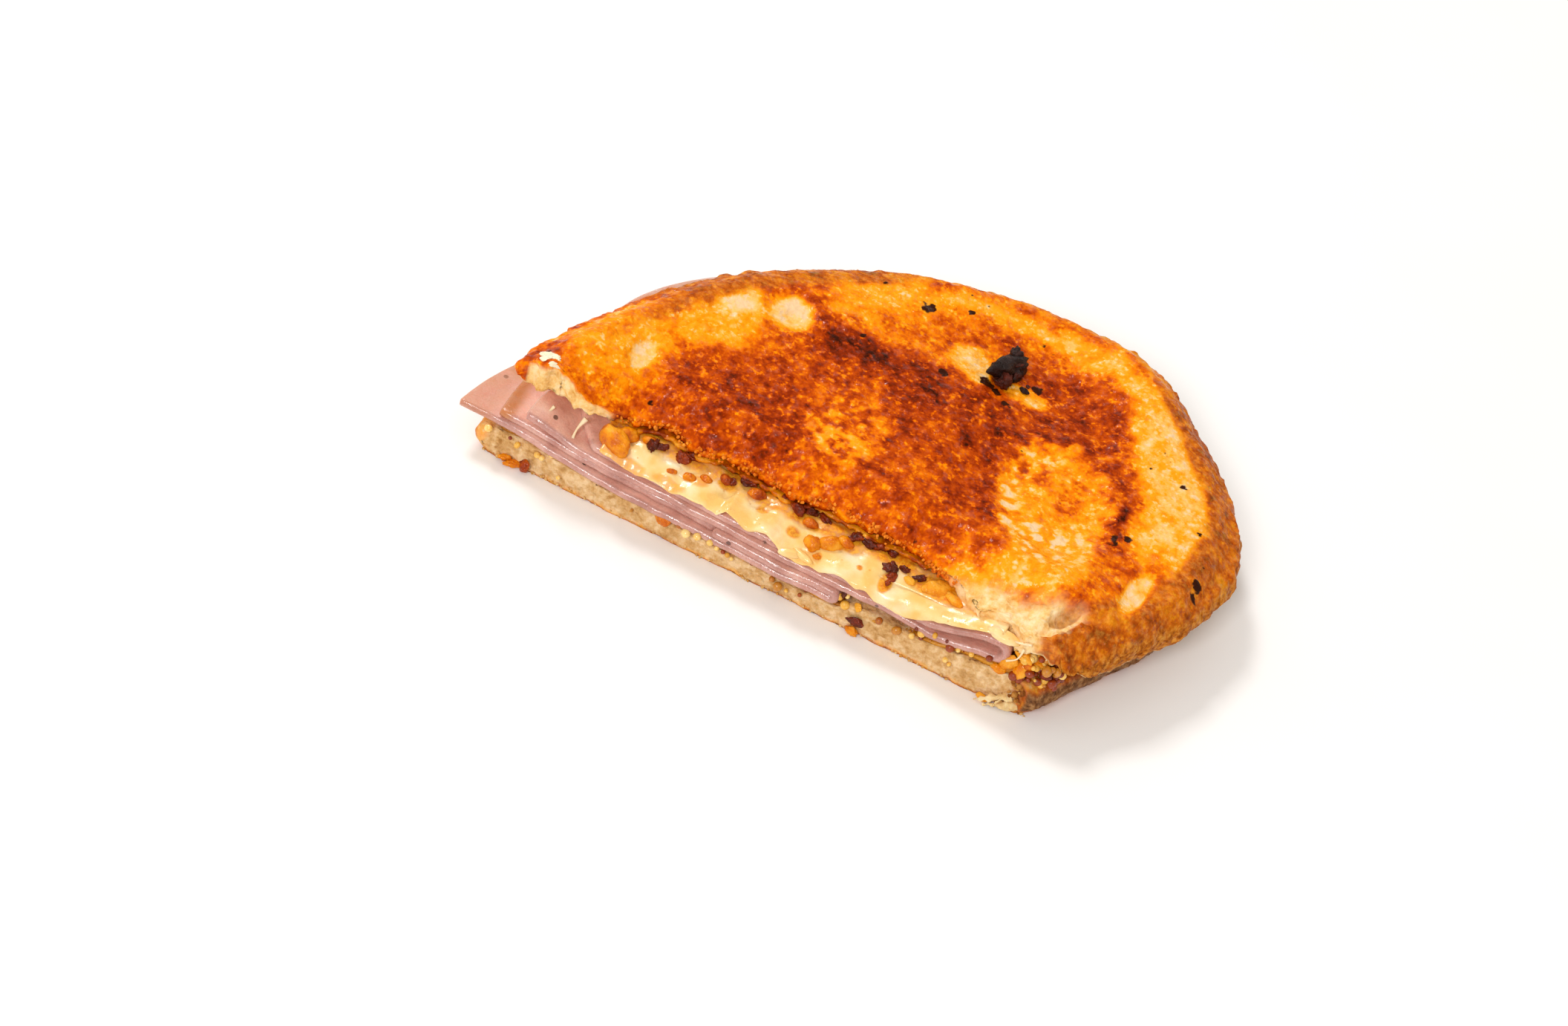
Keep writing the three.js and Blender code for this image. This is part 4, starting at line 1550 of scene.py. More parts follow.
@dataclass
class Bologna(Piece):
    """Four thin slices of bologna: two folded, two flat, fanned out at the left."""

    rows: tuple[float, ...] = tuple(np.concatenate([np.arange(0, 14, 0.5), np.arange(14, 100, 1.6)]))
    spacing: float = 0.7
    column: float = 0.6
    fold_steps: int = 12
    plump: float = 1.84
    rim_rows: int = 5
    bulge: float = 0.55
    second_end: float = -15.8

    def waved(self, seed: int, x: Array, y: Array) -> Array:
        """Soft waves that keep the neighbours apart."""
        return 0.10 * Noise(7, seed, 2).over(x, y, seed * 7.0)

    def front(self, disc: Disc, seed: int, x: Array) -> Array:
        """Where a slice's cut edge lies behind the knife's plane."""
        proud = 0.7 * smooth(-66, -50, x) if disc is self.stack.lowest else 0.0
        return disc.set_back - proud + 0.5 * Noise(7, seed, 3).over(x, 0.0, seed * 5.0)

    def folded(self, disc: Disc, lower: Field, flap: Field, depth: float, seed: int) -> Surface:
        """A slice that is folded back on itself.

        Args:
            disc: its outline before it was folded.
            lower: what its lower ply lies on.
            flap: what its flap lies on.
            depth: how far it reaches behind the cut.
            seed: picks its unevenness.

        Returns:
            Its surface.
        """
        thick = self.plump
        ys = np.array([y for y in self.rows if y < depth - 1] + [depth])
        half = np.sqrt(disc.radius**2 - (ys - disc.y) ** 2)
        left = disc.x - half
        flap_length = np.maximum(disc.x + half - disc.fold_x, self.stack.least_flap)
        fold = np.full_like(ys, disc.fold_x)
        radius = (flap(fold, ys) + thick - lower(fold, ys)) / 2
        bend = disc.fold_x - radius
        lower_count = int((disc.fold_x - left.min()) / self.column)
        flap_count = int(flap_length.max() / self.column)
        over, under = [], []
        for share in np.linspace(0, 1, lower_count):
            x = lerp(left, bend, share)
            level = lower(x, ys)
            over.append(table(x, ys, level + thick))
            under.append(table(x, ys, level))
        base = lower(bend, ys)
        height = (flap(bend, ys) + thick - base) / 2
        for step in range(1, self.fold_steps):
            angle = np.pi * (step / self.fold_steps - 0.5)
            for side, inset in ((over, thick), (under, 0.0)):
                x = bend + (radius - inset) * np.cos(angle)
                z = base + height + (height - inset) * np.sin(angle)
                side.append(table(x, ys, z))
        for share in np.linspace(0, 1, flap_count):
            x = bend - share * (flap_length - radius)
            level = flap(x, ys)
            over.append(table(x, ys, level))
            under.append(table(x, ys, level + thick))
        return self._dressed(np.stack(over, axis=1), np.stack(under, axis=1), disc, seed)

    def flat(self, outside: Field, disc: Disc, level: Field, span: tuple[float, float], seed: int) -> Surface:
        """A slice that lies flat.

        Args:
            outside: how far outside its outline a place is.
            disc: its set-back from the cut.
            level: what it lies on.
            span: where it begins and ends along the cut.
            seed: picks its unevenness.

        Returns:
            Its surface.
        """
        made = Slab(
            lambda x, y: np.maximum(outside(x, y), self.front(disc, seed, x) - y),
            lambda x, y: level(x, y) + self.plump + self.waved(seed, x, y),
            lambda x, y: level(x, y) + self.waved(seed, x, y),
            spacing=self.spacing,
            wall_rows=self.rim_rows,
            bulge=lambda x, y, down: self.bulge * np.sin(np.pi * down),
            span_x=(span[0] - 3, span[1] + 3),
        ).build()
        return made.painted(cut=(made.values["wall"] > 0.4) & (made.points[:, 1] < 2.5))

    def _dressed(self, over: Array, under: Array, disc: Disc, seed: int) -> Surface:
        """Draws the cut edge back and adds soft waves.

        Args:
            over: the slice's upper side, by rows and columns.
            under: its underside.
            disc: its outline.
            seed: picks its unevenness.

        Returns:
            Its surface.
        """
        for side in (over, under):
            x, y = side[..., 0], side[..., 1]
            near = 1 - smooth(0, 3, y)
            side[..., 2] += self.waved(seed, x, y)
            if disc is self.stack.third:
                raised = smooth(-46, -58, x) * (0.5 + 0.5 * smooth(-1, 5, y)) * (1 - smooth(9, 18, y))
                side[..., 2] += 2.8 * raised
            side[..., 1] = y + near * self.front(disc, seed, x)
        return shell(over, under, self.rim_rows, self.bulge)

    def paint(self, made: Surface, browned_left: float) -> Surface:
        """Sets where a slice's edge has fried.

        Args:
            made: the slice's surface.
            browned_left: how brown its left end is.

        Returns:
            The surface.
        """
        x, y, _ = made.points.T
        crust = self.stack.loaf.outside(x, y, -3)
        browned = 0.6 * smooth(-4, 4, crust)
        left = browned_left * (1 - smooth(0, 6.5, x - np.interp(y, (0, 14), (x.min(), x.min() - 0.5))))
        return made.painted(browned=np.maximum(browned, left))

    def build(self) -> list[Object]:
        """Makes and dresses the four slices.

        Returns:
            The pieces, from the lowest up.
        """
        stack = self.stack
        finish = BolognaMeat().material()
        lowest = self.folded(stack.lowest, stack.lowest_level, stack.second_level, 46, 61)
        second = self.flat(
            lambda x, y: np.maximum(stack.second.outside(x, y), x - self.second_end),
            stack.second, stack.second_level, (-66, self.second_end), 62,
        )
        third = self.folded(stack.third, stack.third_level, stack.flap_level, 52, 63)
        topmost = self.flat(stack.topmost.outside, stack.topmost, stack.topmost_level, (-60, 38), 64)
        surfaces = (lowest, second, third, topmost)
        return [
            self.added(
                self.paint(made, browned), f"bologna_slice_{count}", finish, "bologna", f"bologna_{count}"
            )
            for count, (made, browned) in enumerate(zip(surfaces, (0.1, 1.3, 0.0, 0.0)), start=1)
        ]


@dataclass
class Cheese(Piece):
    """Melted cheese that slopes to a scalloped lip over the bologna."""

    spacing: float = 0.6
    left_end: float = -41.0
    left_slant: float = 0.35
    depth: float = 9.0
    column: float = 0.35
    rows: int = 30
    stains: tuple[Patch, ...] = (
        Patch(-37, 0.2, 6, 1.6, 0.6), Patch(-27, 0.6, 4, 1.2, 0.6), Patch(-8.4, 4.6, 1.5, 0.9, 0.9),
        Patch(-1, 3.4, 1.6, 1.2, 0.9), Patch(13.8, 2.6, 0.7, 0.6, 0.9), Patch(29, 5.5, 5.5, 2.6, 0.95),
        Patch(19.6, 2.4, 1.4, 2.2, 1), Patch(5.6, 1.4, 0.8, 0.7, 1), Patch(-22, 3.6, 2.6, 1.4, 0.7),
        Patch(36, 4, 4, 2, 0.6), Patch(-17, 5.8, 2.2, 1.2, 0.9), Patch(9, 5.6, 4, 1.2, 0.8),
    )
    lip: tuple[tuple[float, float], ...] = (
        (-41, 14), (-36, 13.2), (-30, 13.4), (-25.6, 12.4), (-24, 13.3), (-19, 13.4), (-15.8, 12.8),
        (-14.2, 14.8), (-11, 13.2), (-8.6, 12.8), (-5.2, 14.2), (-3, 13), (-1.6, 11.6), (2, 10.8),
        (4.5, 11.3), (7, 11.5), (10, 12.8), (13, 12.5), (15, 11.8), (16.8, 12.7), (19, 11), (22, 10.5),
        (26, 10.8), (29, 12), (33, 13.6), (38, 15.6), (42, 17), (45, 17.6),
    )

    def outside(self, x: Array, y: Array) -> Array:
        """How far a place is outside the cheese behind its melted face."""
        crust = self.stack.loaf.outside(x, y) + 5 + 8 * bell(y, 12, 20) * smooth(40, 54, x)
        return np.max([crust, self.left_end - self.left_slant * y - x, 3 + 6 * smooth(42, 50, x) - y], axis=0)

    def face(self) -> Surface:
        """The melted face, from its scalloped lip up and back under the upper slice.

        Returns:
            A closed sheet.
        """
        xs = np.arange(self.left_end - 0.8, self.lip[-1][0], self.column)
        low = np.interp(xs, *np.array(self.lip).T) + 0.5 * Noise(2.4, 72, 2).over(xs)
        knee = np.maximum(self.stack.cheese_bottom(xs, 0 * xs + 1.5) + 1.9, low + 1.0)
        far = self.depth + 0 * xs
        back = self.stack.cheese_top(xs, far) + 0.2
        over, under = [], []
        for share in np.linspace(0, 1, self.rows):
            near, middle, end = (1 - share) ** 2, 2 * share * (1 - share), share**2
            y = -0.35 * near - 0.9 * middle + far * end
            z = low * near + knee * middle + back * end
            lumps = 0.6 * Noise(5, 73, 2).over(xs, y, z) * min(1, 6 * share)
            lumps += 0.4 * Noise(2.2, 77, 2).over(0.4 * xs, y, z) * min(1, 4 * share)
            over.append(table(xs, y - 0.7 * lumps * (1 - share), z + lumps))
            under.append(table(xs, y + 0.9 * near, z - 0.1 - 1.3 * share))
        return shell(np.stack(over), np.stack(under), rim_rows=3, bulge=0.3)

    def roll(self) -> list[Surface]:
        """A folded roll and a tongue of cheese at the middle of the lip, and its right end.

        Returns:
            Their surfaces.
        """
        rows = (
            (0.6, -0.35, 12.6, 2.6, 0.9, 1.2, 0.2, 74), (3.0, -0.2, 13.2, 2.4, 0.8, 0.7, 0.2, 75),
            (45.0, 0.5, 17.2, 3.4, 1.6, 1.1, 0.25, 78),
        )
        return [Lump(row[:3], row[3:6], rough=row[6], seed=row[7]).build() for row in rows]

    def strings(self) -> list[Surface]:
        """Thin strings of cheese between the slices.

        Returns:
            Their surfaces.
        """
        return [
            tube([(-47.6, 4.4, 16.2), (-48.4, 2.8, 14.2), (-48.5, 1.6, 12.2)], (0.6, 0.22, 0.4)),
            tube([(-54.4, 4.0, 15.8), (-55.3, 2.4, 14.2), (-56.0, 1.6, 12.9)], (0.4, 0.16, 0.3)),
            tube([(43.0, 0.4, 17.4), (46.5, -0.2, 17.6), (50.5, 0.6, 18.2)], (0.4, 0.2, 0.4)),
            tube([(49.5, -0.4, 17.2), (49.0, -0.9, 14.6), (47.2, -0.6, 12.6)], (0.3, 0.15, 0.25)),
        ]

    def paint(self, made: Surface) -> Surface:
        """Sets where the cheese is stained, and paints a strip of orange under the upper slice as shade as
        well as stain.

        Args:
            made: its surface.

        Returns:
            The same surface.
        """
        x, y, _ = made.points.T
        patchy = Noise(2.2, 76, 3).at(made.points)
        # painted shade: the orange strip from y 3.6 to 6.5, under the upper slice's overhang, is stain and
        # painted shade together
        stain = 0.75 * smooth(3.6, 6.5, y) + 0.35 * patchy
        for patch in self.stains:
            stain = np.maximum(stain, patch.level * patch.share(x, y, 0.8 * patchy))
        return made.painted(stain=np.clip(stain, 0, 1))

    def build(self) -> Object:
        """Makes and dresses the cheese.

        Returns:
            The piece.
        """
        body = Slab(
            self.outside, self.stack.cheese_top, self.stack.cheese_bottom, self.spacing, wall_rows=3
        ).build()
        melted = self.paint(Surface.joined([body, self.face(), *self.roll()]))
        strings = Surface.joined(self.strings()).painted(stain=-1.0)
        made = Surface.joined([melted, strings])
        return self.added(made, "cheese_melt", MeltedCheese().material(), "cheese", "cheese")


class Shape(Enum):
    """How a scattered grain is shaped."""

    SEED = "seed"
    CRUMB = "crumb"


@dataclass(frozen=True)
class Grains:
    """Scattered grains made by one tree of geometry nodes, an uneven ball on each point.

    Their sizes differ by a share, the spread.
    """

    shape: Shape
    spread: float = 0.25
    seed: int = 0

    def _tree(self) -> bpy.types.NodeTree:
        """Builds the tree, with named inputs for its sizes.

        Returns:
            The tree, which ends in plain mesh with its material.
        """
        tree = bpy.data.node_groups.new(f"scattered_{self.shape.value}s", "GeometryNodeTree")
        for name, kind in (
            ("Geometry", "Geometry"), ("Spread", "Float"), ("Unevenness", "Float"), ("Lump Size", "Float"),
            ("Detail", "Int"), ("Seed", "Int"), ("Finish", "Material"),
        ):
            tree.interface.new_socket(name, in_out="INPUT", socket_type=f"NodeSocket{kind}")
        tree.interface.new_socket("Geometry", in_out="OUTPUT", socket_type="NodeSocketGeometry")
        given = tree.nodes.new("NodeGroupInput").outputs
        step = partial(output, tree)

        grain = step("GeometryNodeMeshIcoSphere", {"Subdivisions": given["Detail"]})
        random = partial(step, "FunctionNodeRandomValue", data_type="FLOAT_VECTOR")
        turn = random({"Max": FULL_TURN, "Seed": given["Seed"]})
        least = step("ShaderNodeMath", {0: 1.0, 1: given["Spread"]}, operation="SUBTRACT")
        stretch = random({"Min": least, "Max": (1.0, 1.0, 1.0), "Seed": given["Seed"]})
        size = step("GeometryNodeInputNamedAttribute", {"Name": "size"}, data_type="FLOAT")
        scale = step("ShaderNodeVectorMath", {0: stretch, "Scale": size}, operation="SCALE")
        placed = step(
            "GeometryNodeInstanceOnPoints",
            {"Points": given["Geometry"], "Instance": grain, "Rotation": turn, "Scale": scale},
        )
        real = step("GeometryNodeRealizeInstances", {"Geometry": placed})

        finer = step("ShaderNodeMath", {0: 1.0, 1: given["Lump Size"]}, operation="DIVIDE")
        place = step("GeometryNodeInputPosition", {})
        rough = step("ShaderNodeTexNoise", {"Vector": place, "Scale": finer}, "Color")
        centred = step("ShaderNodeVectorMath", {0: rough, 1: (0.5, 0.5, 0.5)}, operation="SUBTRACT")
        depth = step("ShaderNodeVectorMath", {0: centred, "Scale": given["Unevenness"]}, operation="SCALE")
        moved = step("GeometryNodeSetPosition", {"Geometry": real, "Offset": depth})
        dressed = step("GeometryNodeSetMaterial", {"Geometry": moved, "Material": given["Finish"]})
        fill(tree.nodes.new("NodeGroupOutput"), {"Geometry": dressed})
        return tree

    def build(self, name: str, points: Surface, place: CutFrame, material: Material) -> Object:
        """Puts a grain on each point.

        Args:
            name: the piece's name.
            points: the grains' places, with the values "size" in millimetres and "tint".
            place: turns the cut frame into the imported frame.
            material: the grains' finish.

        Returns:
            The object, a plain mesh.
        """
        points.values["size"] = points.values["size"] * METRES
        carrier = points.to_object(name + "_points", place, material)
        tree = self._tree()
        modifier = carrier.modifiers.new("grains", "NODES")
        modifier.node_group = tree
        jagged = self.shape is Shape.CRUMB
        mean = float(points.values["size"].mean())
        settings = {
            "Spread": self.spread,
            "Unevenness": mean * (1.1 if jagged else 0.12),
            "Lump Size": mean * (1.1 if jagged else 2.5),
            "Detail": 2 if jagged else 3,
            "Seed": self.seed,
            "Finish": material,
        }
        for item in tree.interface.items_tree:
            if item.in_out == "INPUT" and item.name in settings:
                modifier[item.identifier] = settings[item.name]
        graph = bpy.context.evaluated_depsgraph_get()
        mesh = bpy.data.meshes.new_from_object(carrier.evaluated_get(graph))
        mesh.name = name
        carrier.modifiers.clear()
        bpy.data.objects.remove(carrier)
        mesh.polygons.foreach_set("use_smooth", np.full(len(mesh.polygons), not jagged))
        return linked(name, mesh)


def dots(rows: Sequence[Row]) -> Surface:
    """Points for grains, each with its x, y, z, size and tint."""
    *places, size, tint = np.array(rows, float).T
    return Surface(np.stack(places, axis=1), np.zeros((0, 4), int)).painted(size=size, tint=tint)


@dataclass
class Mustard(Piece):
    """Grain mustard: a thin sticky layer with whole seeds, and a clump at the right end."""

    spacing: float = 0.9
    inset: float = 4.0
    set_back: float = 0.5
    clump_count: int = 80
    strewn_count: int = 60
    seeds: tuple[Row, ...] = (
        (-65, -0.2, 7.2, 1, 0.1), (-58.5, 0.2, 6.1, 0.8, 0.2), (-54, 0.1, 6.2, 0.8, 0.15),
        (-53, 0.3, 5.8, 0.7, 0.1), (-48.6, -0.1, 3.2, 0.5, 0.1), (-60.2, 0, 7.2, 0.5, 0.9),
        (-20.4, -0.3, 5.4, 1.05, 0), (-18, -0.2, 5.9, 0.9, 0.1), (-15.2, -0.1, 5.9, 0.8, 0.12),
        (-13.6, 0, 5.2, 0.6, 0.1), (-22.2, 0, 6, 0.6, 0.6), (-12.2, 0, 5, 0.5, 0.8),
        (-11.2, 0, 4.7, 0.6, 0.3), (-10.2, 0, 4.4, 0.5, 0.1), (0.4, -0.3, 3.4, 1, 0.45),
        (-1.2, 0, 4.3, 0.7, 0.5), (2.2, 0, 3.2, 0.5, 0.2), (5, 0.1, 3.6, 0.5, 0.7),
        (12.4, 0.4, 7, 0.8, 0.25), (14, 0.2, 5.8, 1, 0.2), (13.8, 0.6, 8, 0.6, 0.1),
        (21.4, -0.1, 6.4, 0.8, 0.6), (25.3, -0.3, 6.3, 1.1, 0.45), (28.4, 0, 6.6, 0.8, 0.1),
        (30, 0.2, 8.2, 0.9, 0.15), (28.8, 0.2, 8.9, 0.6, 0.95), (30.2, 0, 7.2, 0.5, 0.95),
        (36.2, -0.1, 8.4, 1, 0.8), (35.2, 0.2, 9.4, 0.6, 0.95), (37.8, 0, 8.8, 0.6, 0.1),
        (36.2, -0.2, 5, 0.7, 0.1), (37.2, -0.2, 4.3, 0.5, 0.15), (44, -0.1, 10.6, 0.9, 0.9),
        (40.5, 0.1, 9.2, 0.7, 0.2), (32.6, 0.2, 9.3, 0.7, 0.3),
    )

    def clump(self) -> list[Row]:
        """Seeds packed into the clump at the right end.

        Returns:
            A row for each, as dots takes them.
        """
        rng = np.random.default_rng(81)
        rows = []
        for _ in range(self.clump_count):
            x, y = rng.uniform(49.5, 58.0), rng.uniform(0.4, 7.0)
            z = rng.uniform(8.5, 15.5) - 0.3 * abs(x - 53)
            tint = rng.choice([0.1, 0.2, 0.45, 0.85, 0.95], p=[0.14, 0.14, 0.22, 0.28, 0.22])
            rows.append((x, y, z, rng.uniform(0.5, 1.2), tint))
        return rows

    def strewn(self) -> list[Row]:
        """Smaller seeds along the rest of the cut and the crust.

        Returns:
            A row for each, as dots takes them.
        """
        rng = np.random.default_rng(82)
        rows = []
        for x in rng.uniform(-62, 56, self.strewn_count):
            y = rng.uniform(0.2, 2.4)
            z = float(self.stack.mustard_top(np.array(x), np.array(y)))
            rows.append((x, y, z - 0.1, rng.uniform(0.35, 0.75), rng.choice([0.1, 0.2, 0.5, 0.9])))
        return rows

    def outside(self, x: Array, y: Array) -> Array:
        """How far a place is outside the layer."""
        crust = self.stack.lower_crust(x, y) + 3 * bell(y, 14, 14) * smooth(44, 56, x)
        return np.maximum(crust + self.inset, self.set_back + 0.3 * np.sin(x / 1.9) - y)

    def build(self) -> list[Object]:
        """Makes and dresses the layer and its seeds.

        Returns:
            The pieces.
        """
        layer = Slab(
            self.outside, self.stack.mustard_top, self.stack.mustard_bottom, self.spacing, wall_rows=1
        ).build()
        layer.push(0.15 * Noise(1.6, 83, 3).at(layer.points))
        tint = 0.5 + 0.5 * Noise(4, 84, 3).at(layer.points)
        sauce = Glazed("mustard_sauce", ("#8a4a0c", "#c47c16", "#e6aa3a"), rough=0.22)
        seed = Glazed(
            "mustard_seed",
            ("#fbd88c", "#f0b23c", "#cc8826", "#ac5c10", "#9a3a04", "#702204"),
            rough=0.3, relief=0.04, wet=0.5,
        )
        made = self.added(layer.painted(tint=tint), "mustard_layer", sauce.material(), "mustard", "mustard")
        lined = [(x, y - 0.8 * (x < 12), z, size, tint) for x, y, z, size, tint in self.seeds]
        points = dots([*lined, *self.clump(), *self.strewn()])
        grains = Grains(Shape.SEED, spread=0.22, seed=5).build(
            "mustard_seeds", points, self.place, seed.material()
        )
        return [made, self.claimed(grains, "mustard")]


@dataclass
class Onion(Piece):
    """Fried onion: a thin layer under the upper slice, with golden lumps along the cut."""

    spacing: float = 0.7
    inset: float = 13.0
    golden: tuple[Row, ...] = (
        (-40.6, 2.8, 0.8, 3.6, 2.2, 2.6, 0.26), (-39, 5.6, 0.6, 2.4, 1.8, 1.5, 0.35),
        (3.4, 3, 0.3, 1.8, 1.4, 1.6, 0.3), (6.6, 4.6, 0.3, 2.4, 1.6, 1.3, 0.2),
        (9, 6.4, 0.3, 1.8, 1.2, 1, 0.35), (5.4, 1, 0, 0.8, 0.5, 0.5, 0.3),
        (-24, 3.6, 0.2, 1.4, 0.9, 0.9, 0.38), (-21, 4.8, 0.2, 1.5, 0.9, 0.8, 0.45),
        (-27.6, 3, 0.1, 1.2, 0.7, 0.7, 0.35), (-17.6, 6.6, 0.4, 1.5, 1, 1, 0.5),
        (29.5, 6, 0, 3.4, 1.6, 0.9, 0.15), (33, 5, 0, 2.6, 1.4, 0.8, 0.12),
        (-11, 7, 0.4, 1.8, 1.1, 0.9, 0.45), (23.6, 4.6, 0.2, 1.2, 0.9, 0.7, 0.02),
        (-34.5, 6.6, 0.4, 1.8, 1, 0.9, 0.4), (1, 6.6, 0.4, 1.6, 1, 0.9, 0.45),
    )
    dark: tuple[Row, ...] = (
        (-33.4, 4.4, 0.5, 1.2, 1, 1.5, 0.85), (-31.6, 5.6, 0.5, 1.2, 0.6, 0.5, 0.95),
        (-27.4, 5.6, 0.5, 1.4, 0.9, 1.2, 0.8), (-25.4, 6.6, 0.5, 1.6, 0.8, 0.7, 0.7),
        (-16.2, 5.6, 0.4, 0.9, 0.7, 0.8, 0.85), (-13.8, 6.9, 0.6, 1.5, 0.7, 0.6, 0.95),
        (-5.8, 7.2, 0.6, 1.2, 0.7, 0.7, 0.8), (-2.4, 6.4, 0.5, 1.7, 0.9, 0.9, 0.75),
        (0.2, 7, 0.6, 1.3, 0.7, 0.7, 0.85), (3.2, 7, 0.6, 1.6, 0.7, 0.6, 0.7),
        (10.4, 6.2, 0.5, 1.6, 0.9, 1, 0.75), (12.8, 6.4, 0.5, 1.6, 1, 1, 0.85),
        (15.4, 6.6, 0.5, 1.7, 0.8, 0.8, 0.72), (18.2, 6.8, 0.5, 1.3, 0.6, 0.6, 0.95),
        (19.4, 3.6, 0.3, 1.2, 1.2, 0.7, 0.95), (20, 2, 0.1, 0.8, 1.2, 0.5, 0.75),
        (21.8, 4.6, 0.3, 1, 0.6, 0.5, 0.9), (25.4, 5.4, 0.4, 1, 0.7, 0.6, 0.95),
        (19.9, 0.2, 0, 0.6, 0.4, 0.4, 0.7),
    )
    ends: tuple[Row, ...] = (
        (49.6, 1.6, 5.6, 2.6, 1.5, 1, 0.0), (47.8, 0.9, 2.6, 1.7, 1.1, 2.6, 0.06),
        (50.2, 1, 2.2, 1.5, 1, 2.4, 0.12), (53, 2.6, 4.2, 1.8, 1.2, 1.2, 0.2),
        (46.4, 0.3, 0.6, 1.6, 0.7, 1, 0.1), (51.6, 3.6, 5.4, 2.2, 1.4, 1, 0.02),
        (51.6, 0.9, 4, 1, 0.8, 0.9, 0.6), (55, 1.9, 3, 1.2, 1, 1.1, 0.8),
        (56.4, 4.6, 2.6, 1.6, 1.6, 1.4, 0.85),
    )
    hanging: tuple[Row, ...] = (
        (-25.6, -0.5, 5.5, 1.8, 0.7, 1.7, 0.35), (-22.2, -0.3, 6, 0.6, 0.4, 0.6, 0.4),
        (-4.2, -0.3, 6, 0.9, 0.3, 0.5, 0.4), (4.6, -0.3, 6.1, 0.7, 0.3, 0.6, 0.4),
        (17.3, -0.4, 3.4, 1.7, 0.5, 1.1, 0.9), (17, -0.6, 0.9, 1.4, 0.6, 0.9, 0.2),
        (13.2, 0.3, 8, 0.5, 0.4, 1.3, 0.95), (16.7, 0, 7, 0.8, 0.4, 0.7, 0.0),
        (-58.4, -0.7, 0.9, 1.9, 0.8, 0.8, 0.25), (-56, -0.6, 1.6, 1.3, 0.7, 1.1, 0.4),
        (-60.4, -0.6, 1.3, 1.3, 0.7, 0.6, 0.2), (45.8, -0.9, 0.7, 1.5, 0.6, 0.6, 0.0),
    )

    def outside(self, x: Array, y: Array) -> Array:
        """How far a place is outside the layer, whose front is drawn back at the right.

        Args:
            x: along the cut.
            y: behind the cut.

        Returns:
            Millimetres, negative inside.
        """
        front = np.maximum(7 + 9 * smooth(24, 30, x), self.stack.fried_front(x) - 0.8) - y
        crust = self.stack.loaf.outside(x, y) + self.inset
        return np.max([crust, -41 - 0.35 * y - x, front], axis=0) + Noise(2, 143, 3).over(x, y)

    def build(self) -> Object:
        """Makes and dresses the layer and its lumps.

        Returns:
            The piece.
        """
        stack = self.stack
        layer = Slab(self.outside, stack.onion_top, stack.onion_bottom, self.spacing, wall_rows=1).build()
        layer.push(0.7 * Noise(1.8, 141, 3).at(layer.points))
        layer.painted(tint=0.40 + 0.9 * Noise(2.6, 142, 3).at(layer.points))
        burnt = [
            (x, y + 0.8 * float(stack.fried_front(x) - stack.upper_front(x)), *rest)
            for x, y, *rest in self.dark
        ]
        lumps = [
            *strewn(self.golden, stack.cheese_top, 0.32, 91),
            *strewn(burnt, stack.cheese_top, 1.1, 111),
            *strewn(self.ends, stack.lower_top, 0.4, 131),
            *strewn(self.hanging, lambda x, y: 0 * x, 0.6, 151),
        ]
        finish = Glazed(
            "fried_onion", ("#f4a82c", "#e88a00", "#cf6400", "#a03a02", "#762204", "#4e1602"),
            rough=0.3, sink=0.7, relief=0.2, shine=0.1, wet=0.35,
        )
        made = Surface.joined([layer, *lumps])
        return self.added(made, "onion_relish", finish.material(), "onion", "onion")


@dataclass
class CharredBit(Piece):
    """A glossy black crumb of char, baked onto the fried face."""

    x: float = 19.0
    y: float = 67.5
    lumps: tuple[Row, ...] = (
        (0.1, 0.4, 1.2, 2.5, 5.8, 2.5, 0.3), (-0.2, 4, 2, 1.5, 2.4, 1.8, 0.5),
        (0.9, 1.6, 2.2, 1.1, 1.6, 0.9, 0.7), (-1.6, 0.4, 1.3, 1, 1.7, 1, 0.2),
        (1.9, -0.8, 1.4, 1, 1.5, 1, 0.4), (0.2, -4.2, 1.1, 1.8, 2, 1.4, 0.8),
        (-1, -2.6, 0.8, 1.3, 1, 0.9, 0.1), (4.8, -2.4, 0.3, 1, 0.8, 0.5, 0.5),
        (5, -0.6, 0.2, 0.5, 0.4, 0.3, 0.9), (-2.8, -2.8, 0.2, 0.5, 0.4, 0.4, 0.9),
    )

    def build(self) -> Object:
        """Makes and dresses the crumb.

        Returns:
            The piece.
        """
        placed = [(self.x + x, self.y + y, *rest) for x, y, *rest in self.lumps]
        made = Surface.joined(strewn(placed, self.stack.upper_top, 0.8, 171))
        colours = ("#140804", "#2a1008", "#6e2208")
        finish = Glazed("char", colours, rough=0.35, sink=0.0, relief=0.4, shine=0.2)
        return self.added(made, "char_crumb", finish.material(), "char", "charred_bit")


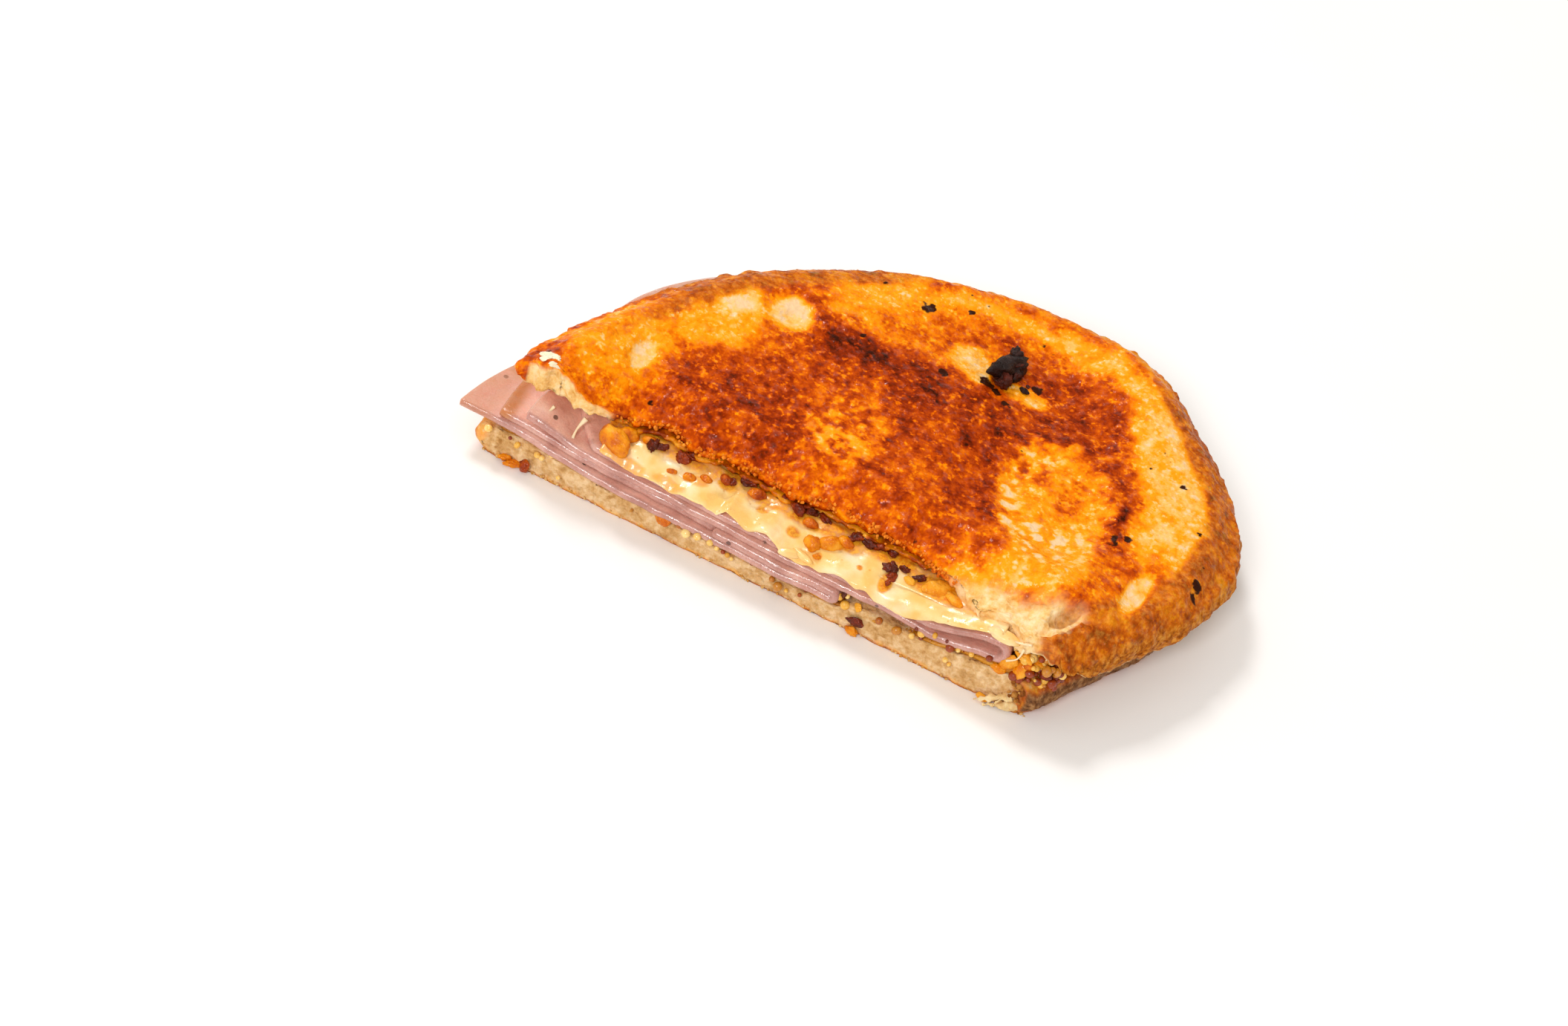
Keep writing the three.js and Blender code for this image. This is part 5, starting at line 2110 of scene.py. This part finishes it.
@dataclass
class LooseBits(Piece):
    """Toasted crumbs along the edges, a flake on the left tip and a shred at the right corner."""

    front_count: int = 300
    corner_count: int = 60
    foot_count: int = 120
    flakes: tuple[Row, ...] = (
        (-58.9, 6.5, 1.6, 1.5, 176), (-57.4, 5.4, 1.9, 1, 177), (-56.3, 4.3, 0.9, 1.5, 178),
    )

    def front_crumbs(self) -> list[Row]:
        """Crumbs along the ragged front edge of the upper slice.

        Returns:
            A row for each, as dots takes them.
        """
        rng = np.random.default_rng(161)
        rows = []
        for x in rng.uniform(-42, 32, self.front_count):
            y = float(self.stack.fried_front(np.array(x))) + rng.uniform(-0.8, 0.6)
            z = float(self.stack.upper_top(np.array(x), np.array(y))) + rng.uniform(-1.8, -0.4)
            rows.append((x, y, z, rng.uniform(0.25, 0.5), rng.uniform(0.25, 0.6)))
        return rows

    def foot_crumbs(self) -> list[Row]:
        """Crumbs along the lower slice's toasted lower edge.

        Returns:
            A row for each, as dots takes them.
        """
        rng = np.random.default_rng(162)
        rows = [(-62.0, -0.4, 1.0, 0.8, 0.2), (-32.4, -0.3, 3.6, 0.6, 0.4), (49.0, -0.6, 1.4, 1.0, 0.2)]
        for _ in range(self.corner_count):
            x, z = rng.uniform(50.0, 55.5), rng.uniform(0.4, 8.0)
            rows.append((x, max(-0.3, 1.2 * (x - 53)), z, rng.uniform(0.3, 0.75), rng.uniform(0.3, 0.9)))
        for x in rng.uniform(-68, 55, self.foot_count):
            y, z = rng.uniform(-0.25, 0.25), rng.uniform(0.1, 0.8)
            rows.append((x, y, z, rng.uniform(0.2, 0.45), rng.uniform(0.0, 0.35)))
        return rows

    def flake(self) -> Surface:
        """A pale flake on the left tip's crust.

        Returns:
            Its surface.
        """
        scraps = [
            Lump((x, y, 0.0), (long, wide, 0.28), rough=0.9, seed=seed).build()
            for x, y, long, wide, seed in self.flakes
        ]
        made = Surface.joined(scraps)
        x, y, z = made.points.T
        made.points[:, 2] = z + self.stack.upper_top(x, y) - 0.85
        return made.painted(tint=0.5)

    def shred(self) -> Surface:
        """A shred of crumb torn loose at the lower slice's near right corner.

        Returns:
            Its surface.
        """
        upper = [(50.8, 0.2, 3.6), (48.6, -0.8, 2.9), (46.6, -1.4, 1.6), (44.2, -2.0, 0.5)]
        lower = [(52.6, 0.2, 1.8), (50.4, -0.9, 1.5), (48.2, -1.5, 0.9), (46.4, -2.0, 0.5)]
        short = [(49.8, -0.4, 3.0), (48.8, -1.2, 2.2), (48.4, -1.8, 1.0)]
        strips = (
            tube(upper, (0.9, 0.7, 0.5, 0.15), 20),
            tube(lower, (0.9, 0.8, 0.5, 0.15), 20),
            tube(short, (0.5, 0.4, 0.15), 12),
        )
        made = Surface.joined(strips)
        made.push(0.8 * Noise(0.8, 179, 2).at(made.points))
        return made.painted(tint=0.4 + 0.9 * Noise(1.5, 180, 2).at(made.points))

    def build(self) -> list[Object]:
        """Makes and dresses the crumbs, the flake and the shred.

        Returns:
            The pieces.
        """
        toasted = ("#f8b860", "#f2922a", "#d8680c", "#9c4406", "#4a1c04")
        crumb = Glazed("toasted_crumb", toasted, rough=0.45, sink=0.6, relief=0.15, shine=0.1)
        brown = ("#e6c084", "#c88e44", "#9c5c1e", "#6a3410")
        dull = Glazed("board_crumb", brown, rough=0.5, sink=0.6, relief=0.15, shine=0.1)
        pale = Glazed("cheese_flake", ("#fbe6bb", "#fdf0d2"), rough=0.35, relief=0.1)
        torn = Glazed("torn_crumb", ("#d8a868", "#f0cf96", "#fbe8c0"), rough=0.6, relief=0.15, shine=0.1)
        grains = Grains(Shape.CRUMB, spread=0.5, seed=9)
        front = grains.build("crumbs_front", dots(self.front_crumbs()), self.place, crumb.material())
        foot = grains.build("crumbs_foot", dots(self.foot_crumbs()), self.place, dull.material())
        return [
            self.claimed(front, "fried_bread"),
            self.claimed(foot, "lower_bread"),
            self.added(self.flake(), "flake", pale.material(), "cheese"),
            self.added(self.shred(), "crumb_shred", torn.material(), "lower_bread"),
        ]


# ---- the studio


@dataclass(frozen=True)
class Lamp:
    """A square soft box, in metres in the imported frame, with its power in watts."""

    name: str
    at: Triple
    side: float
    power: float

    def build(self) -> None:
        """Makes the lamp, which looks at the sandwich."""
        data = bpy.data.lights.new(self.name, "AREA")
        data.size = self.side
        data.energy = self.power
        lamp = linked(self.name, data)
        lamp.location = self.at
        lamp.rotation_euler = (-Vector(self.at)).to_track_quat("-Z", "Y").to_euler()


@dataclass(frozen=True)
class Studio:
    """A white floor, soft boxes, a bright surrounding and the camera."""

    place: CutFrame
    camera_at: Triple = (77.16, -413.72, 428.26)
    azimuth: float = 11.0
    elevation: float = 44.0
    roll: float = 18.5
    lens: float = 70.0
    surround: float = 0.65
    lamps: tuple[Lamp, ...] = (
        Lamp("key", (-0.90, 0.50, 1.40), 0.35, 12.2),
        Lamp("fill", (-0.15, -1.30, 1.10), 0.4, 11.4),
    )

    def floor(self) -> None:
        """Makes the floor."""
        mesh = bpy.data.meshes.new("floor")
        far = 3.0
        mesh.from_pydata([(-far, -far, 0), (far, -far, 0), (far, far, 0), (-far, far, 0)], [], [(0, 1, 2, 3)])
        recipe = Recipe("white_floor")
        faint = recipe.ramp(recipe.noise(60, 1), ((0.3, "#f6f4f2"), (0.7, "#f9f7f5")))
        mesh.materials.append(recipe.finish(faint, roughness=0.6))
        linked("floor", mesh)

    def camera(self) -> None:
        """Makes the camera, which looks down on the cut with its horizon tilted."""
        azimuth, elevation, roll = np.radians([self.azimuth, self.elevation, self.roll])
        level = np.array([np.cos(azimuth), np.sin(azimuth), 0.0])
        towards = np.array([np.sin(azimuth), -np.cos(azimuth), 0.0])
        back = towards * np.cos(elevation) + [0.0, 0.0, np.sin(elevation)]
        upright = np.cross(back, level)
        right = np.cos(roll) * level + np.sin(roll) * upright
        up = -np.sin(roll) * level + np.cos(roll) * upright
        data = bpy.data.cameras.new("camera")
        data.lens = self.lens
        data.sensor_width = 36.0
        data.clip_start, data.clip_end = 0.01, 20.0
        turned = Matrix((right, up, back)).transposed().to_4x4()
        turned.translation = Vector(self.place.to_metres(self.camera_at))
        camera = linked("camera", data)
        camera.matrix_world = turned
        bpy.context.scene.camera = camera

    def surroundings(self) -> None:
        """Makes the bright surrounding."""
        world = bpy.data.worlds.new("studio")
        world.use_nodes = True
        sky = world.node_tree.nodes["Background"]
        sky.inputs["Color"].default_value = (1.0, 0.97, 0.92, 1.0)
        sky.inputs["Strength"].default_value = self.surround
        scene = bpy.context.scene
        scene.world = world
        scene.view_settings.view_transform = "Standard"

    def build(self) -> None:
        """Makes it all."""
        self.floor()
        self.camera()
        self.surroundings()
        for lamp in self.lamps:
            lamp.build()


def main() -> None:
    """Builds the studio and the sandwich, layer by layer from the board up."""
    logging.basicConfig(level=logging.INFO, format="%(name)s: %(message)s")
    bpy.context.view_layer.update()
    stack = Stack()
    place = CutFrame.from_packed()
    Studio(place).build()
    for piece in (LowerBread, Mustard, Bologna, Cheese, Onion, UpperBread, CharredBit, LooseBits):
        piece(stack, place).build()


if __name__ == "__main__":
    main()
